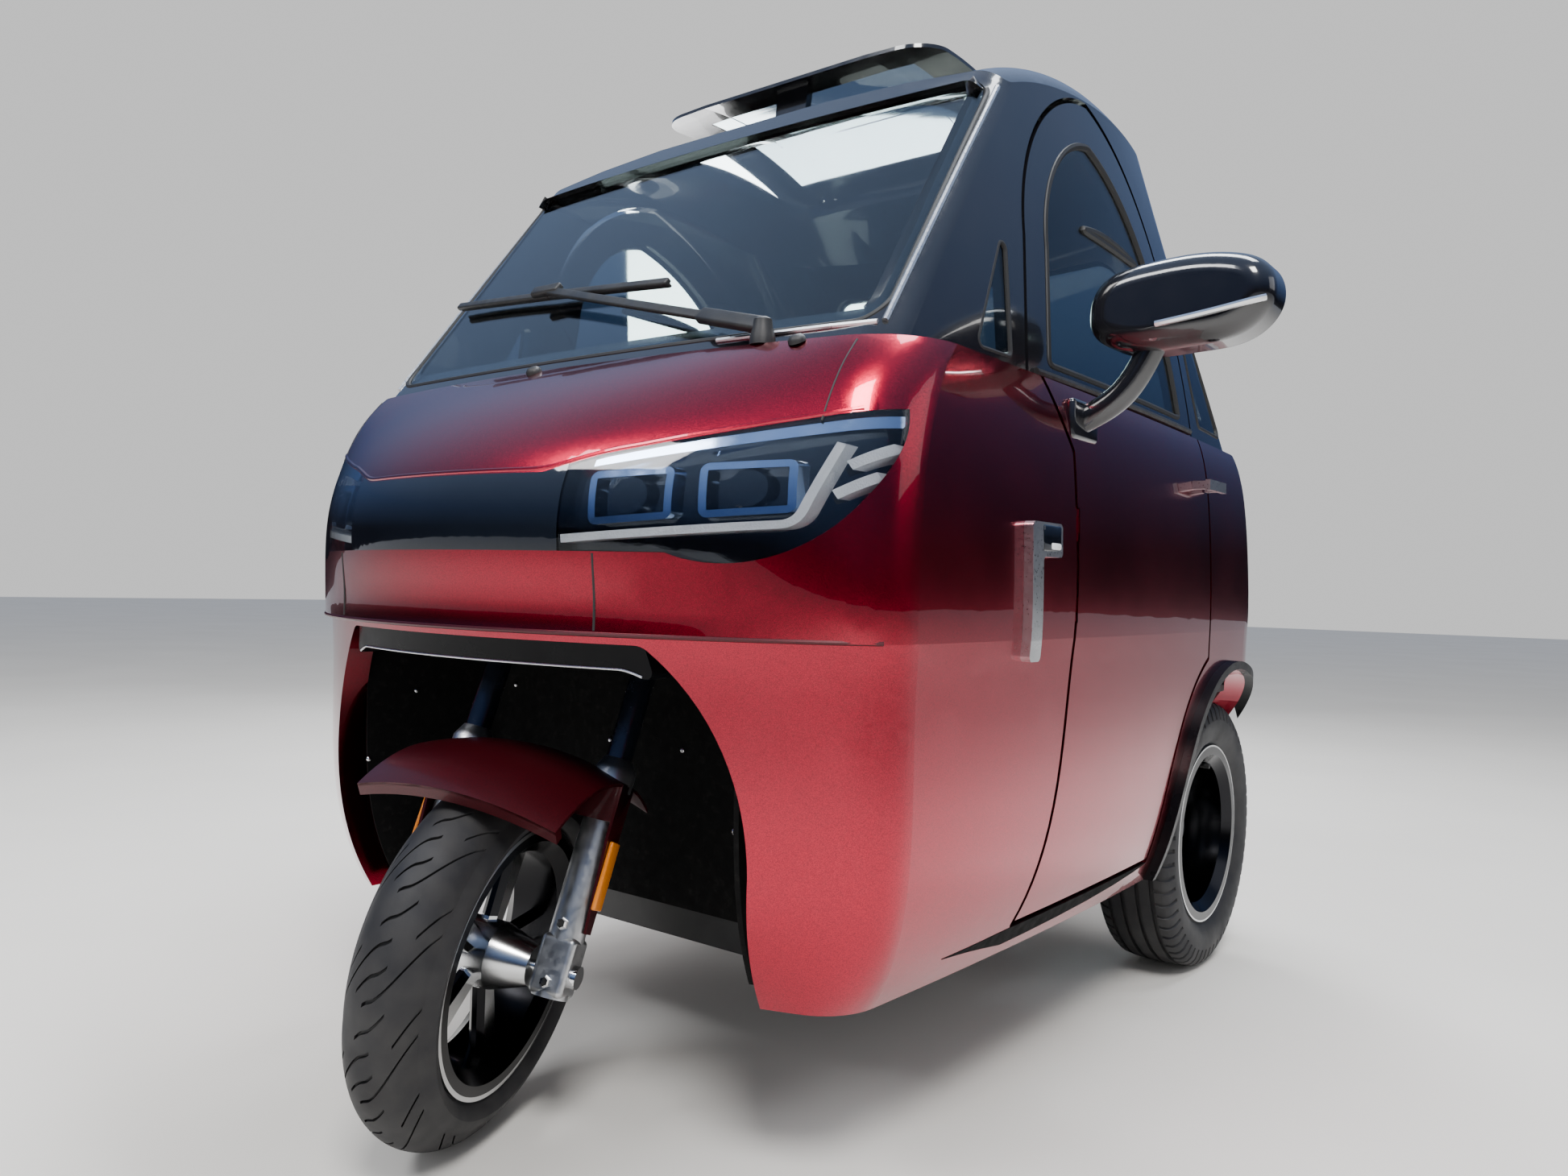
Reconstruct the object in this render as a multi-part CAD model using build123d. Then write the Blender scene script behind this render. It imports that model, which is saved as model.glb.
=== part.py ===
from build123d import *
import os
from collections import namedtuple
from math import cos, radians, sin, sqrt

# Three-wheeled cabin scooter. Millimetres, +Z up, the front faces -Y and the driver's left is +X.
# The origin is on the ground, under the middle of the overall box.

# Wheels and running gear
WHEELBASE = 1330
FRONT_AXLE_Y = -728
REAR_AXLE_Y = FRONT_AXLE_Y + WHEELBASE
FRONT_TYRE_R = 236
FRONT_TYRE_W = 118
FRONT_FLANGE_R = 168
FRONT_RIM_W = 98
REAR_TYRE_R = 254
REAR_TYRE_W = 145
REAR_FLANGE_R = 168
REAR_RIM_W = 124
REAR_TRACK = 880
SPIN_CLEARANCE = 0.05
SPOKE_T = 22
SPOKES = 5
TYRE_SHOULDER = 10
TYRE_BULGE = 4
RIM_LIP = 6
RIM_SEAT_DROP = 12
RIM_WELL_DROP = 34
RIM_SLOPE = 16
SPOKE_LAP = 8
SPOKE_INNER_SHARE = 0.4
SPOKE_OUTER_SHARE = 0.55
FRONT_CROWN_DROP = 34
FRONT_HUB_R = 42
FRONT_HUB_W = 150
FRONT_HUB_TAPER = 0.6
FRONT_SPOKE_W = 40
REAR_CROWN_DROP = 9
REAR_HUB_R = 60
REAR_HUB_W = 26
REAR_HUB_TAPER = 0.9
REAR_SPOKE_W = 52
REAR_DISH = -34.7
BORE_L = 500
SEAT_GAP = 0.2

# Steering: the axis leans back by the rake, and the wheel is parked turned to the left
RAKE = 21
FORK_OFFSET = 35
REST_STEER = 23.4
LEG_SPREAD = 105
STANCHION_R = 17
LEG_R = 23
CLAMP_W = 46
CLAMP_H = 72
CLAMP_RISE = 8
CLAMP_ROUND = 7
BRACKET_T = 4
LEG_LOW = -30
LEG_HIGH = 240
STANCHION_HIGH = 440
FRONT_PIN_R = 7.5
AXLE_NUT_R = 14
AXLE_NUT_T = 8
AXLE_END = 30
YOKE_LAP = 22
YOKE_BACK = 22
BAR_FLAT_HALF = 70
BAR_BEND_R = 60
GUARD_HALF = 131
GUARD_T = 4
GUARD_CROWN = 26
GUARD_EDGE = 1
GUARD_FRONT = 62
GUARD_BACK = 34
GUARD_LIP_TURN = 3
GUARD_LIP_DEEP = 14
STAY_INNER_X = 70
STAY_LOW = 190
STRAP_LOW = 52
STRAP_KNEE = 170
STRAP_TOP_W = 14
STRAP_FOOT_W = 8
YOKE_LOW = 440
YOKE_T = 24
HEAD_TUBE_LOW = 476
HEAD_TUBE_HIGH = 630
STEM_R = 16
BAR_HEIGHT = 650
BAR_HALF = 300
BAR_SWEEP = 110
BAR_R = 13

# Reach of the cutting tools, beyond the vehicle on every side
SIDE_X = 700
AHEAD_Y = -900
BEHIND_Y = 1100
SKY_Z = 1700

# Body walls and gaps
WALL = 38
CABIN_WALL = 26
DOOR_GAP = 8
GLASS_T = 5
GLASS_INSET = 3
SCREEN_COS = 0.81
SCREEN_SIN = 0.59
WIPER_PIVOT_X = 329
WIPER_PIVOT_Y = -583.5
WIPER_PIVOT_R = 8
WIPER_PIVOT_H = 28
WIPER_ARM_LIFT = 22
WIPER_ARM_W = 15
WIPER_ARM_T = 6
WIPER_ARM_PROUD = 19
WIPER_BLADE_W = 14
WIPER_BLADE_T = 12
WIPER_BLADE = [(-440, 1158), (-174, 1136), (92, 1114)]
BELT_Z = 992
CREASE_Z = 645
SKIRT_Z = 225
ROOF_PEAK_Z = 1512
ROOF_PEAK_Y = 70
ROOF_FRONT_R = 740
ROOF_BACK_R = 1000
ROOF_CROWN_R = 5600
ROOF_FLAT_HALF = 170
ROOF_HALF = 456
ROOF_SIDE_DROP = 230
ROOF_SIDE_SPLAY = 0.45
ROOF_EDGE_R = 58
ROOF_FRONT_TURN = 70
ROOF_BACK_TURN = 55
ROOF_BASE_LAP = 50
ROOF_BASE_Z = 1250
ROOF_SPLIT_Z = 1340
SIDE_MID_Y = 100
PILLAR_SPLIT_Y = 100
FRONT_SPLIT_Y = -150
SILL_INNER_X = 400
SILL_FRONT_Y = -330
SILL_REACH = 120

# Windows: corners in the front or side view, and the round of each corner
SCREEN_PANE = [(-470, 1014), (470, 1014), (452, 1400), (-452, 1400)]
SCREEN_ROUND = 34
SCREEN_BACK_Y = -100
REAR_PANE = [(-372, 1040), (372, 1040), (330, 1356), (-330, 1356)]
REAR_PANE_ROUND = 50
REAR_PANE_FRONT_Y = 300
REAR_PANE_BACK_Y = 1000
QUARTER_PANE = [(-372, 1012), (-284, 1012), (-276, 1200)]
QUARTER_ROUND = 10
QUARTER_INNER_X = 400
REAR_QUARTER_PANE = [(506, 1022), (690, 1022), (548, 1196), (430, 1210)]
REAR_QUARTER_ROUND = 16
SIDE_PANE_X = 300

# Front openings and lamps, as seen from the front
MOUTH_TOP_Z = 634
MOUTH_TOP_HALF = 284
MOUTH_WIDE_HALF = 402
MOUTH_WIDE_Z = 385
MOUTH_LOW_HALF = 384
MOUTH_BULGE_X = 28
MOUTH_BULGE_Z = 22
MOUTH_ROUND = 26
MOUTH_UNDER = 20
MOUTH_BACK_Y = -500
LIP_OUTLINE = [(-283, 634), (283, 634), (296, 590), (262, 604), (-262, 604), (-296, 590)]
LIP_ROUND = 8
LIP_INSET = 6
LIP_BACK_Y = -600
MARKER_PROUD = 13
MARKER_OUTLINE = [(-322, 618), (-292, 618), (-292, 752), (-236, 752), (-236, 796), (-322, 796)]
MARKER_ROUND = 7
MARKER_INNER_X = 400
LAMP_LOW_Z = 738
LAMP_TOP_Z = 828
LAMP_HALF = 531
LAMP_TIP_Z = 902
LAMP_LEVEL_HALF = 172
LAMP_STEP_X = 244
LAMP_STEP = 20
LAMP_FOOT_X = 330
LAMP_END_X = 500
LAMP_END_RISE = 44
LAMP_INNER_X = 205
LAMP_BACK_Y = -528
LAMP_DEPTH = 30
LENS_T = 4
LENS_GAP = 2
LAMP_PLATE_T = 6
CELLS = [(240, 767), (360, 776)]
CELL_W = 92
CELL_H = 60
CELL_BEZEL = 8
CELL_SKEW = [(0, 0), (0, 8), (-4, 6), (-6, 0)]
CELL_ROUND = 9
CELL_MIDDLE = (-2, 3)
LAMP_WEDGE = [(234, 833), (526, 880), (530, 894), (234, 844)]
DAYLIGHT_LINE = [(206, 752), (452, 772), (484, 860)]
DAYLIGHT_ROUND = 22
TURN_BARS = [((494, 836), (526, 857)), ((484, 804), (518, 825))]
PROJECTOR_R = 20
WIPER_PROUD = 11
DAYLIGHT_W = 9
TURN_BAR_W = 11
HOOD_HALF = 464
HOOD_BACK_Y = -450
HOOD_LAP = 40
NOSE_PANEL_HALF = 249
NOSE_PANEL_LOW_Z = 500
NOSE_PANEL_BACK_Y = -620

# Doors
DOOR_LOW_Z = 268
HINGE_X = 545
HINGE_Y = -157
HINGE_HEIGHTS = [690, 800]
HINGE_PIN_R = 2.5
HINGE_KNUCKLE_R = 4.5
HINGE_KNUCKLE_H = 21
HINGE_H = 44
HINGE_POCKET_R = 6.6
HINGE_ARM_T = 7
HINGE_ARM_L = 30
HINGE_END_GAP = 3
HINGE_POCKET_END = 4
DOOR_FRONT_EDGE = [(-262, DOOR_LOW_Z), (-186, 500), (-158, 750), (-168, 900)]
DOOR_ARCH = [(-226, 1190), (-152, 1376), (10, 1452), (296, 1300)]
DOOR_BELT_FRONT_Y = -246
DOOR_BELT_REAR_Y = 446
DOOR_REAR_Y = 452
ARCH_MID = (0.8, 0.6)
HANDLE_AT = (560, 392, 900)
HANDLE_SIZE = (8, 90, 18)
HANDLE_FEET_Y = (358, 426)
HANDLE_FOOT = (25, 16, 14)
HANDLE_FOOT_LAP = 1
DOOR_FRAME_W = 62
DOOR_SILL_Z = 264
DOOR_WINDOW_LOW_Z = 1020
MIRROR_Y = -128
MIRROR_DEEP = 76
MIRROR_ROUND = 30
MIRROR_RIM_R = 6
MIRROR_ARM_W = 30
MIRROR_ARM_T = 38
MIRROR_HIGH = [(552, 1086), (572, 1134), (640, 1152), (740, 1149), (786, 1126)]
MIRROR_LOW = [(794, 1086), (764, 1048), (690, 1034), (604, 1036), (562, 1056)]
MIRROR_ARM = [(532, 946), (592, 978), (640, 1052)]
MIRROR_ARM_START = (1, 0, 0.4)
MIRROR_ARM_END = (0.5, 0, 1)

# Rear
ARCH_R = 318
ARCH_TRIM_W = 15
ARCH_TRIM_PROUD = 16
DOOR_ARCH_MARGIN = 56
ARCH_INNER_X = 300
ARCH_TRIM_INNER_X = 480
TAIL_SPLIT_Y = 812
TAILGATE_HALF = 300
TAILGATE_LOW_Z = 596
TAILGATE_HIGH_Z = 930
TAILGATE_ROUND = 46
TAIL_FRONT_Y = 800
TAIL_LAMP_AT = (378, 760)
TAIL_LAMP_W = 136
TAIL_LAMP_H = 90
TAIL_LAMP_ROUND = 30
TAIL_LAMP_PROUD = 4
TAIL_LAMP_DEEP = 20
GATE_HINGE_X = (112, 208)
GATE_EAR_T = 12
GATE_EAR_FRONT_Y = 922
GATE_EAR_BACK_Y = 952
GATE_EAR_RISE = 16
GATE_KNUCKLE_GAP = 2
GATE_ARM_DROP = 26
GATE_ARM_BACK = 12
GATE_AXIS_Y = 944.5
GATE_AXIS_Z = 928
PIN_R = 4
KNUCKLE_R = 7
KNUCKLE_CLEAR = 3

# Sunroof, parked with its front edge raised
SUNROOF_HALF = 284
SUNROOF_FRONT_Y = -150
SUNROOF_BACK_Y = 268
SUNROOF_LIFT = 4
SUNROOF_T = 6
SUNROOF_OPEN = 8.5
SUNROOF_BORDER = 34
SUNROOF_ROUND = 60
SUNROOF_CUT_Z = 1380
SUNROOF_CUT_H = 300
SUNROOF_HINGE_RISE = 7
SUNROOF_KNUCKLE_R = 5.5
SUNROOF_PIN_R = 3
SUNROOF_BORE_X = (160, 200)
SUNROOF_KNUCKLE_X = (168, 188)
SUNROOF_EAR_X = (190, 202)
SUNROOF_EAR_DROP = 20
SUNROOF_EAR_FRONT = 7
SUNROOF_EAR_BACK = 9
SUNROOF_EAR_RISE = 5
SUNROOF_EAR_GAP = 2
SUNROOF_ARM_L = 12
SUNROOF_ARM_LOW = 2
SUNROOF_ARM_HIGH = 3
LATCH_HALF = 32
LATCH_Y = (-118, -104)
LATCH_LOW_Z = 1410
LATCH_DROP = 18

# Chassis and cabin floor
RAIL_X = 230
RAIL_W = 50
RAIL_LOW_Z = 190
RAIL_HIGH_Z = 250
FLOOR_T = 12
TOE_BOARD_Y = -362
FLOOR_BACK_Y = 235
DECK_Z = 520
REAR_RAIL_LOW_Z = 330
REAR_RAIL_HIGH_Z = 380
LINER_T = 6
LINER_BACK_Y = -422
LINER_TOP_Z = 725
LINER_FRONT_HALF = 402
LINER_BACK_HALF = 318
LINER_FRONT_Y = -800
LINER_OPEN_Y = -700
LINER_ROUND = 70
LINER_RISE = 15
HEAD_TUBE_R = 30
HEAD_TUBE_HOLE_R = 42
NECK_Z = 762
NECK_Y = (-520, -470)
NECK_HALF = 92
POST_X = 70
POST_Y = -388
POST_R = 22
STRUT_Y = -440
STRUT_L = 110
RAIL_FRONT_Y = -340
RAIL_STEP_Y = (360, 420)
RAIL_BACK_Y = 856
FRONT_CROSS_Y = -410
MID_CROSS_Y = (80, 130)
BACK_CROSS_Y = 806
DECK_FRONT_Y = 592
DECK_BACK_Y = 1000
DECK_LEG_W = 40
DECK_LEGS_Y = [(600, 620), (830, 850)]
REAR_AXLE_R = 32
REAR_AXLE_HALF = 392
MOTOR_R = 95
MOTOR_HALF = 110
REAR_STUB_R = 14
REAR_STUB_X = (390, 425)
DRUM_R = 62
DRUM_X = 376
LEAF_HALF_W = 25
LEAF_END_Y = (424, 780)
LEAF_T = 13.8
LEAF_LOW_Z = 286.2
LEAF_EYE = 20
BATTERY_HALF = 200
BATTERY_Y = (60, 420)
BATTERY_TOP_Z = 470
CUSHION_HALF = 220
CUSHION_Y = (20, 470)
CUSHION_TOP_Z = 570
SEAT_BACK_HALF = 215
SEAT_BACK_T = 90
SEAT_BACK_H = 560
SEAT_BACK_AT = (0, 466, 500)
SEAT_BACK_LEAN = 10
SEAT_ROUND = 30
DASH_Y = (-640, -500)
DASH_Z = (958, 974)

Section = namedtuple(
    "Section", "z nose_y corner_x corner_y mid_x rear_x rear_y tail_y front_r rear_r"
)
SKIRT = [
    Section(SKIRT_Z, -690, 478, -590, 500, 470, 820, 892, 80, 160),
    Section(320, -745, 522, -600, 533, 500, 846, 924, 85, 190),
    Section(470, -765, 538, -608, 547, 518, 862, 941, 90, 220),
    Section(CREASE_Z, -772, 542, -612, 550, 522, 868, 949, 95, 230),
]
NOSE = [
    Section(CREASE_Z, -806, 542, -612, 550, 522, 868, 949, 100, 230),
    Section(LAMP_LOW_Z, -812, 542, -612, 550, 521, 869, 952, 105, 230),
    Section(LAMP_TOP_Z, -800, 540, -606, 547, 516, 866, 950, 110, 230),
    Section(915, -730, 537, -595, 541, 507, 858, 944, 110, 225),
    Section(965, -660, 533, -580, 533, 497, 848, 934, 110, 220),
    Section(BELT_Z, -612, 530, -566, 525, 488, 838, 924, 110, 215),
]
CABIN = [
    Section(BELT_Z, -582, 492, -560, 514, 468, 830, 906, 45, 200),
    Section(1276, -375, 472, -354, 486, 452, 544, 614, 45, 170),
    Section(1560, -168, 452, -148, 458, 436, 258, 322, 45, 140),
]


def plan_face(s, inset):
    """One horizontal outline of the body, drawn in by inset all round."""
    nose = ThreePointArc((-s.corner_x, s.corner_y), (0, s.nose_y), (s.corner_x, s.corner_y))
    left = ThreePointArc((s.corner_x, s.corner_y), (s.mid_x, SIDE_MID_Y), (s.rear_x, s.rear_y))
    tail = ThreePointArc((s.rear_x, s.rear_y), (0, s.tail_y), (-s.rear_x, s.rear_y))
    right = ThreePointArc((-s.rear_x, s.rear_y), (-s.mid_x, SIDE_MID_Y), (-s.corner_x, s.corner_y))
    face = make_face([nose, left, tail, right])
    face = fillet(face.vertices().sort_by(Axis.Y)[:2], s.front_r)
    face = fillet(face.vertices().sort_by(Axis.Y)[-2:], s.rear_r)
    if inset:
        face = offset(face, -inset)
    return Pos(0, 0, s.z) * face


def plan_loft(table, inset=0):
    return loft([plan_face(s, inset) for s in table])


def side_cut(outline, near=0, far=SIDE_X):
    """A side-view outline in Y and Z, swept across the left half of the vehicle."""
    return extrude(Pos(near, 0, 0) * (Plane.YZ * outline), far - near)


def front_cut(outline, near, far):
    """A front-view outline in X and Z, swept along Y from near to far."""
    return extrude(Pos(0, far, 0) * (Plane.XZ * outline), far - near)


def block(x0, x1, y0, y1, z0, z1):
    return Pos((x0 + x1) / 2, (y0 + y1) / 2, (z0 + z1) / 2) * Box(x1 - x0, y1 - y0, z1 - z0)


def other_side(part):
    return mirror(part, about=Plane.YZ)


def both_sides(part):
    return part + other_side(part)


def tube_x(radius, x0, x1, y, z):
    return Pos((x0 + x1) / 2, y, z) * Rot(0, 90, 0) * Cylinder(radius, x1 - x0)


# Outlines


def rounded_face(points, radius):
    """A straight-sided outline with all its corners rounded."""
    face = make_face(Polyline(*points, close=True))
    return fillet(face.vertices(), radius)


def mirrored_points(points):
    return [(-x, z) for x, z in reversed(points)]


def mouth_outline():
    """The front wheel's opening: a level top, bowed flanks and a straight lower part."""
    low = SKIRT_Z - MOUTH_UNDER
    bow_x = (MOUTH_TOP_HALF + MOUTH_WIDE_HALF) / 2 + MOUTH_BULGE_X
    bow_z = (MOUTH_TOP_Z + MOUTH_WIDE_Z) / 2 + MOUTH_BULGE_Z
    top, wide, foot = (MOUTH_TOP_HALF, MOUTH_TOP_Z), (MOUTH_WIDE_HALF, MOUTH_WIDE_Z), (MOUTH_LOW_HALF, low)
    far_foot, far_wide, far_top = mirrored_points([top, wide, foot])
    lines = [
        Line(top, far_top),
        ThreePointArc(far_top, (-bow_x, bow_z), far_wide),
        Line(far_wide, far_foot),
        Line(far_foot, foot),
        Line(foot, wide),
        ThreePointArc(wide, (bow_x, bow_z), top),
    ]
    face = make_face(lines)
    return fillet(face.vertices().sort_by(Axis.Y)[-2:], MOUTH_ROUND)


def lamp_outline():
    """The full-width lamp band: level in the middle, rising to a point at each end."""
    tip, foot = (LAMP_HALF, LAMP_TIP_Z), (LAMP_FOOT_X, LAMP_LOW_Z)
    bend = (LAMP_END_X, LAMP_LOW_Z + LAMP_END_RISE)
    half = [(LAMP_LEVEL_HALF, LAMP_TOP_Z), (LAMP_STEP_X, LAMP_TOP_Z + LAMP_STEP), tip]
    top = Polyline(*mirrored_points(half), *half)
    far_foot, far_bend, far_tip = mirrored_points([tip, bend, foot])
    end = ThreePointArc(tip, bend, foot)
    start = ThreePointArc(far_foot, far_bend, far_tip)
    return make_face([*top.edges(), end, Line(foot, far_foot), start])


def arch_point(radius, y):
    return (y, REAR_TYRE_R + sqrt(radius**2 - (REAR_AXLE_Y - y) ** 2))


def door_outline(grow=0):
    """The whole door from the side: a lower panel with a curved front edge, and an arched window frame."""
    r = ARCH_R + DOOR_ARCH_MARGIN
    low = (REAR_AXLE_Y - sqrt(r**2 - (REAR_TYRE_R - DOOR_LOW_Z) ** 2), DOOR_LOW_Z)
    high = arch_point(r, DOOR_REAR_Y)
    middle = (REAR_AXLE_Y - ARCH_MID[0] * r, REAR_TYRE_R + ARCH_MID[1] * r)
    foot, bow, knee, shoulder = DOOR_FRONT_EDGE
    spring, front_bow, top, back_bow = DOOR_ARCH
    belt_front, belt_rear = (DOOR_BELT_FRONT_Y, BELT_Z), (DOOR_BELT_REAR_Y, BELT_Z)
    lines = [
        Line(low, foot),
        ThreePointArc(foot, bow, knee),
        Line(knee, shoulder),
        Line(shoulder, belt_front),
        Line(belt_front, spring),
        ThreePointArc(spring, front_bow, top),
        ThreePointArc(top, back_bow, belt_rear),
        Line(belt_rear, high),
        ThreePointArc(high, middle, low),
    ]
    face = make_face(lines)
    return offset(face, grow) if grow else face


def above(face, z):
    """The part of a side-view outline that lies above a height."""
    return face & (Pos(0, z + SKY_Z / 2) * Rectangle(4 * SKY_Z, SKY_Z))


# Body shells


def roof_crown(drop=0):
    """The solid under the roof: a crowned profile with round shoulders, turned along two arcs."""
    top_z = ROOF_PEAK_Z - drop
    half = ROOF_HALF - drop
    edge_z = top_z - half**2 / (2 * ROOF_CROWN_R)
    foot_z = edge_z - ROOF_SIDE_DROP
    foot_x = half + ROOF_SIDE_DROP * ROOF_SIDE_SPLAY
    side = [(ROOF_FLAT_HALF, top_z), ((ROOF_FLAT_HALF + half) / 2, (2 * top_z + edge_z) / 3)]
    side += [(half, edge_z), (foot_x, foot_z)]
    profile = make_face(Polyline(*side, *mirrored_points(side), close=True))
    profile = fillet(profile.vertices().sort_by(Axis.Y)[2:4], ROOF_EDGE_R - drop)
    profile = Pos(0, ROOF_PEAK_Y, 0) * (Plane.XZ * profile)
    front_axis = Axis((0, ROOF_PEAK_Y, ROOF_PEAK_Z - ROOF_FRONT_R), (1, 0, 0))
    back_axis = Axis((0, ROOF_PEAK_Y, ROOF_PEAK_Z - ROOF_BACK_R), (-1, 0, 0))
    front = revolve(profile, front_axis, revolution_arc=ROOF_FRONT_TURN)
    back = revolve(profile, back_axis, revolution_arc=ROOF_BACK_TURN)
    base = block(-SIDE_X, SIDE_X, AHEAD_Y, BEHIND_Y, BELT_Z - ROOF_BASE_LAP, ROOF_BASE_Z)
    return front + back + base


def cabin_solid(inset=0):
    return plan_loft(CABIN, inset) & roof_crown(inset)


skirt_outer = plan_loft(SKIRT)
skirt_inner = plan_loft(SKIRT, WALL)
nose_outer = plan_loft(NOSE)
nose_inner = plan_loft(NOSE, WALL)
cabin_outer = cabin_solid()
cabin_inner = cabin_solid(CABIN_WALL)
skirt_shell = skirt_outer - skirt_inner
nose_shell = nose_outer - nose_inner
cabin_shell = cabin_outer - cabin_inner
body_shell = skirt_shell + nose_shell

# Cutters

door_hole = side_cut(door_outline(DOOR_GAP / 2))
door_fill = side_cut(door_outline(-DOOR_GAP / 2))
lamp_cut = front_cut(lamp_outline(), AHEAD_Y, LAMP_BACK_Y)
mouth_cut = front_cut(mouth_outline(), AHEAD_Y, MOUTH_BACK_Y)
front_zone = block(-SIDE_X, SIDE_X, AHEAD_Y, FRONT_SPLIT_Y, 0, SKY_Z)
tail_zone = block(-SIDE_X, SIDE_X, TAIL_SPLIT_Y, BEHIND_Y, 0, SKY_Z)
arch_hole = tube_x(ARCH_R, ARCH_INNER_X, SIDE_X, REAR_AXLE_Y, REAR_TYRE_R)
left_half = block(0, SIDE_X, AHEAD_Y, BEHIND_Y, 0, SKY_Z)

parts = {}


# Front of the body

front_shell = (body_shell & front_zone) - door_hole - other_side(door_hole)
hood_zone = block(-HOOD_HALF, HOOD_HALF, AHEAD_Y, HOOD_BACK_Y, LAMP_LOW_Z + HOOD_LAP, BELT_Z)
parts["hood"] = (nose_shell & hood_zone) - lamp_cut
nose_zone = block(
    -NOSE_PANEL_HALF, NOSE_PANEL_HALF, AHEAD_Y, NOSE_PANEL_BACK_Y, NOSE_PANEL_LOW_Z, LAMP_LOW_Z
)
parts["nose_panel"] = (front_shell & nose_zone) - mouth_cut
sill_zone = block(SILL_INNER_X, SIDE_X, SILL_FRONT_Y, FLOOR_BACK_Y + SILL_REACH, 0, DOOR_SILL_Z)
fender = ((front_shell & left_half) - hood_zone - lamp_cut - nose_zone - mouth_cut) - sill_zone
hinge_pockets, hinge_ears, hinge_knuckles = Part(), Part(), Part()
half_t = HINGE_ARM_T / 2
for z in HINGE_HEIGHTS:
    at = Pos(HINGE_X, HINGE_Y, z)
    strap = block(-half_t, half_t, -HINGE_ARM_L, 0, -HINGE_H / 2, HINGE_H / 2)
    strap += Cylinder(HINGE_KNUCKLE_R, HINGE_H)
    ear = strap - Cylinder(HINGE_POCKET_R, HINGE_KNUCKLE_H + HINGE_END_GAP) + Cylinder(HINGE_PIN_R, HINGE_H)
    arm = block(-half_t, half_t, 0, HINGE_ARM_L, -HINGE_KNUCKLE_H / 2, HINGE_KNUCKLE_H / 2)
    arm += Cylinder(HINGE_KNUCKLE_R, HINGE_KNUCKLE_H)
    hinge_pockets += at * Cylinder(HINGE_POCKET_R, HINGE_H + HINGE_POCKET_END)
    hinge_ears += at * ear
    hinge_knuckles += at * (arm - Cylinder(HINGE_PIN_R + SPIN_CLEARANCE, HINGE_H))
fender = (fender - hinge_pockets) + hinge_ears
parts["front_fenders"] = both_sides(fender)

# Lamp band: a middle panel and, at each end, a housing behind a clear cover
band = (nose_outer - plan_loft(NOSE, LAMP_DEPTH)) & lamp_cut
lens = (nose_outer - plan_loft(NOSE, LENS_T)) & lamp_cut
lamp_zone = block(LAMP_INNER_X, SIDE_X, AHEAD_Y, HOOD_BACK_Y, CREASE_Z, SKY_Z)
parts["lamp_band"] = band - lamp_zone - other_side(lamp_zone)
left_lens = lens & lamp_zone
lamp_back = plan_loft(NOSE, LAMP_DEPTH - LAMP_PLATE_T)
housing = (lamp_back - plan_loft(NOSE, LAMP_DEPTH)) & lamp_cut & lamp_zone
lamp_room = (plan_loft(NOSE, LENS_T + LENS_GAP) - lamp_back) & lamp_zone
bezels, projectors, light_lines = Sketch(), Sketch(), Sketch()
for low_x, low_z in CELLS:
    high_x, high_z = low_x + CELL_W, low_z + CELL_H
    corners = [(low_x, low_z), (high_x, low_z), (high_x, high_z), (low_x, high_z)]
    cell = rounded_face([(x + dx, z + dz) for (x, z), (dx, dz) in zip(corners, CELL_SKEW)], CELL_ROUND)
    bezels += cell - offset(cell, -CELL_BEZEL)
    middle = (low_x + CELL_W / 2 + CELL_MIDDLE[0], low_z + CELL_H / 2 + CELL_MIDDLE[1])
    projectors += Pos(*middle) * Circle(PROJECTOR_R)
wedge = make_face(Polyline(*LAMP_WEDGE, close=True))
light_lines += trace(FilletPolyline(*DAYLIGHT_LINE, radius=DAYLIGHT_ROUND), DAYLIGHT_W)
for start, end in TURN_BARS:
    light_lines += trace(Line(start, end), TURN_BAR_W)


def in_lamp(outline):
    """What fills a front-view outline between the lamp's cover and its back plate."""
    return lamp_room & front_cut(outline, AHEAD_Y, LAMP_BACK_Y)


parts["headlamp_lenses"] = both_sides(left_lens)
parts["headlamp_units"] = both_sides(housing + in_lamp(projectors))
parts["lamp_trims"] = both_sides(in_lamp(bezels + wedge))
parts["light_strips"] = both_sides(in_lamp(light_lines) & lamp_cut)

# Side markers ahead of the doors, and the black lip along the top of the wheel opening
marker_cut = side_cut(rounded_face(MARKER_OUTLINE, MARKER_ROUND), MARKER_INNER_X)
marker = (plan_loft(NOSE, -MARKER_PROUD) - nose_outer) & marker_cut
marker += (plan_loft(SKIRT, -MARKER_PROUD) - skirt_outer) & marker_cut
parts["side_markers"] = both_sides(marker)
lip_face = make_face(Polyline(*LIP_OUTLINE, close=True))
lip_face = fillet(lip_face.vertices().sort_by(Axis.Y)[:4], LIP_ROUND)
lip = (plan_loft(SKIRT, LIP_INSET) - skirt_inner) & front_cut(lip_face, AHEAD_Y, LIP_BACK_Y)
parts["mouth_lip"] = lip & mouth_cut

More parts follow.
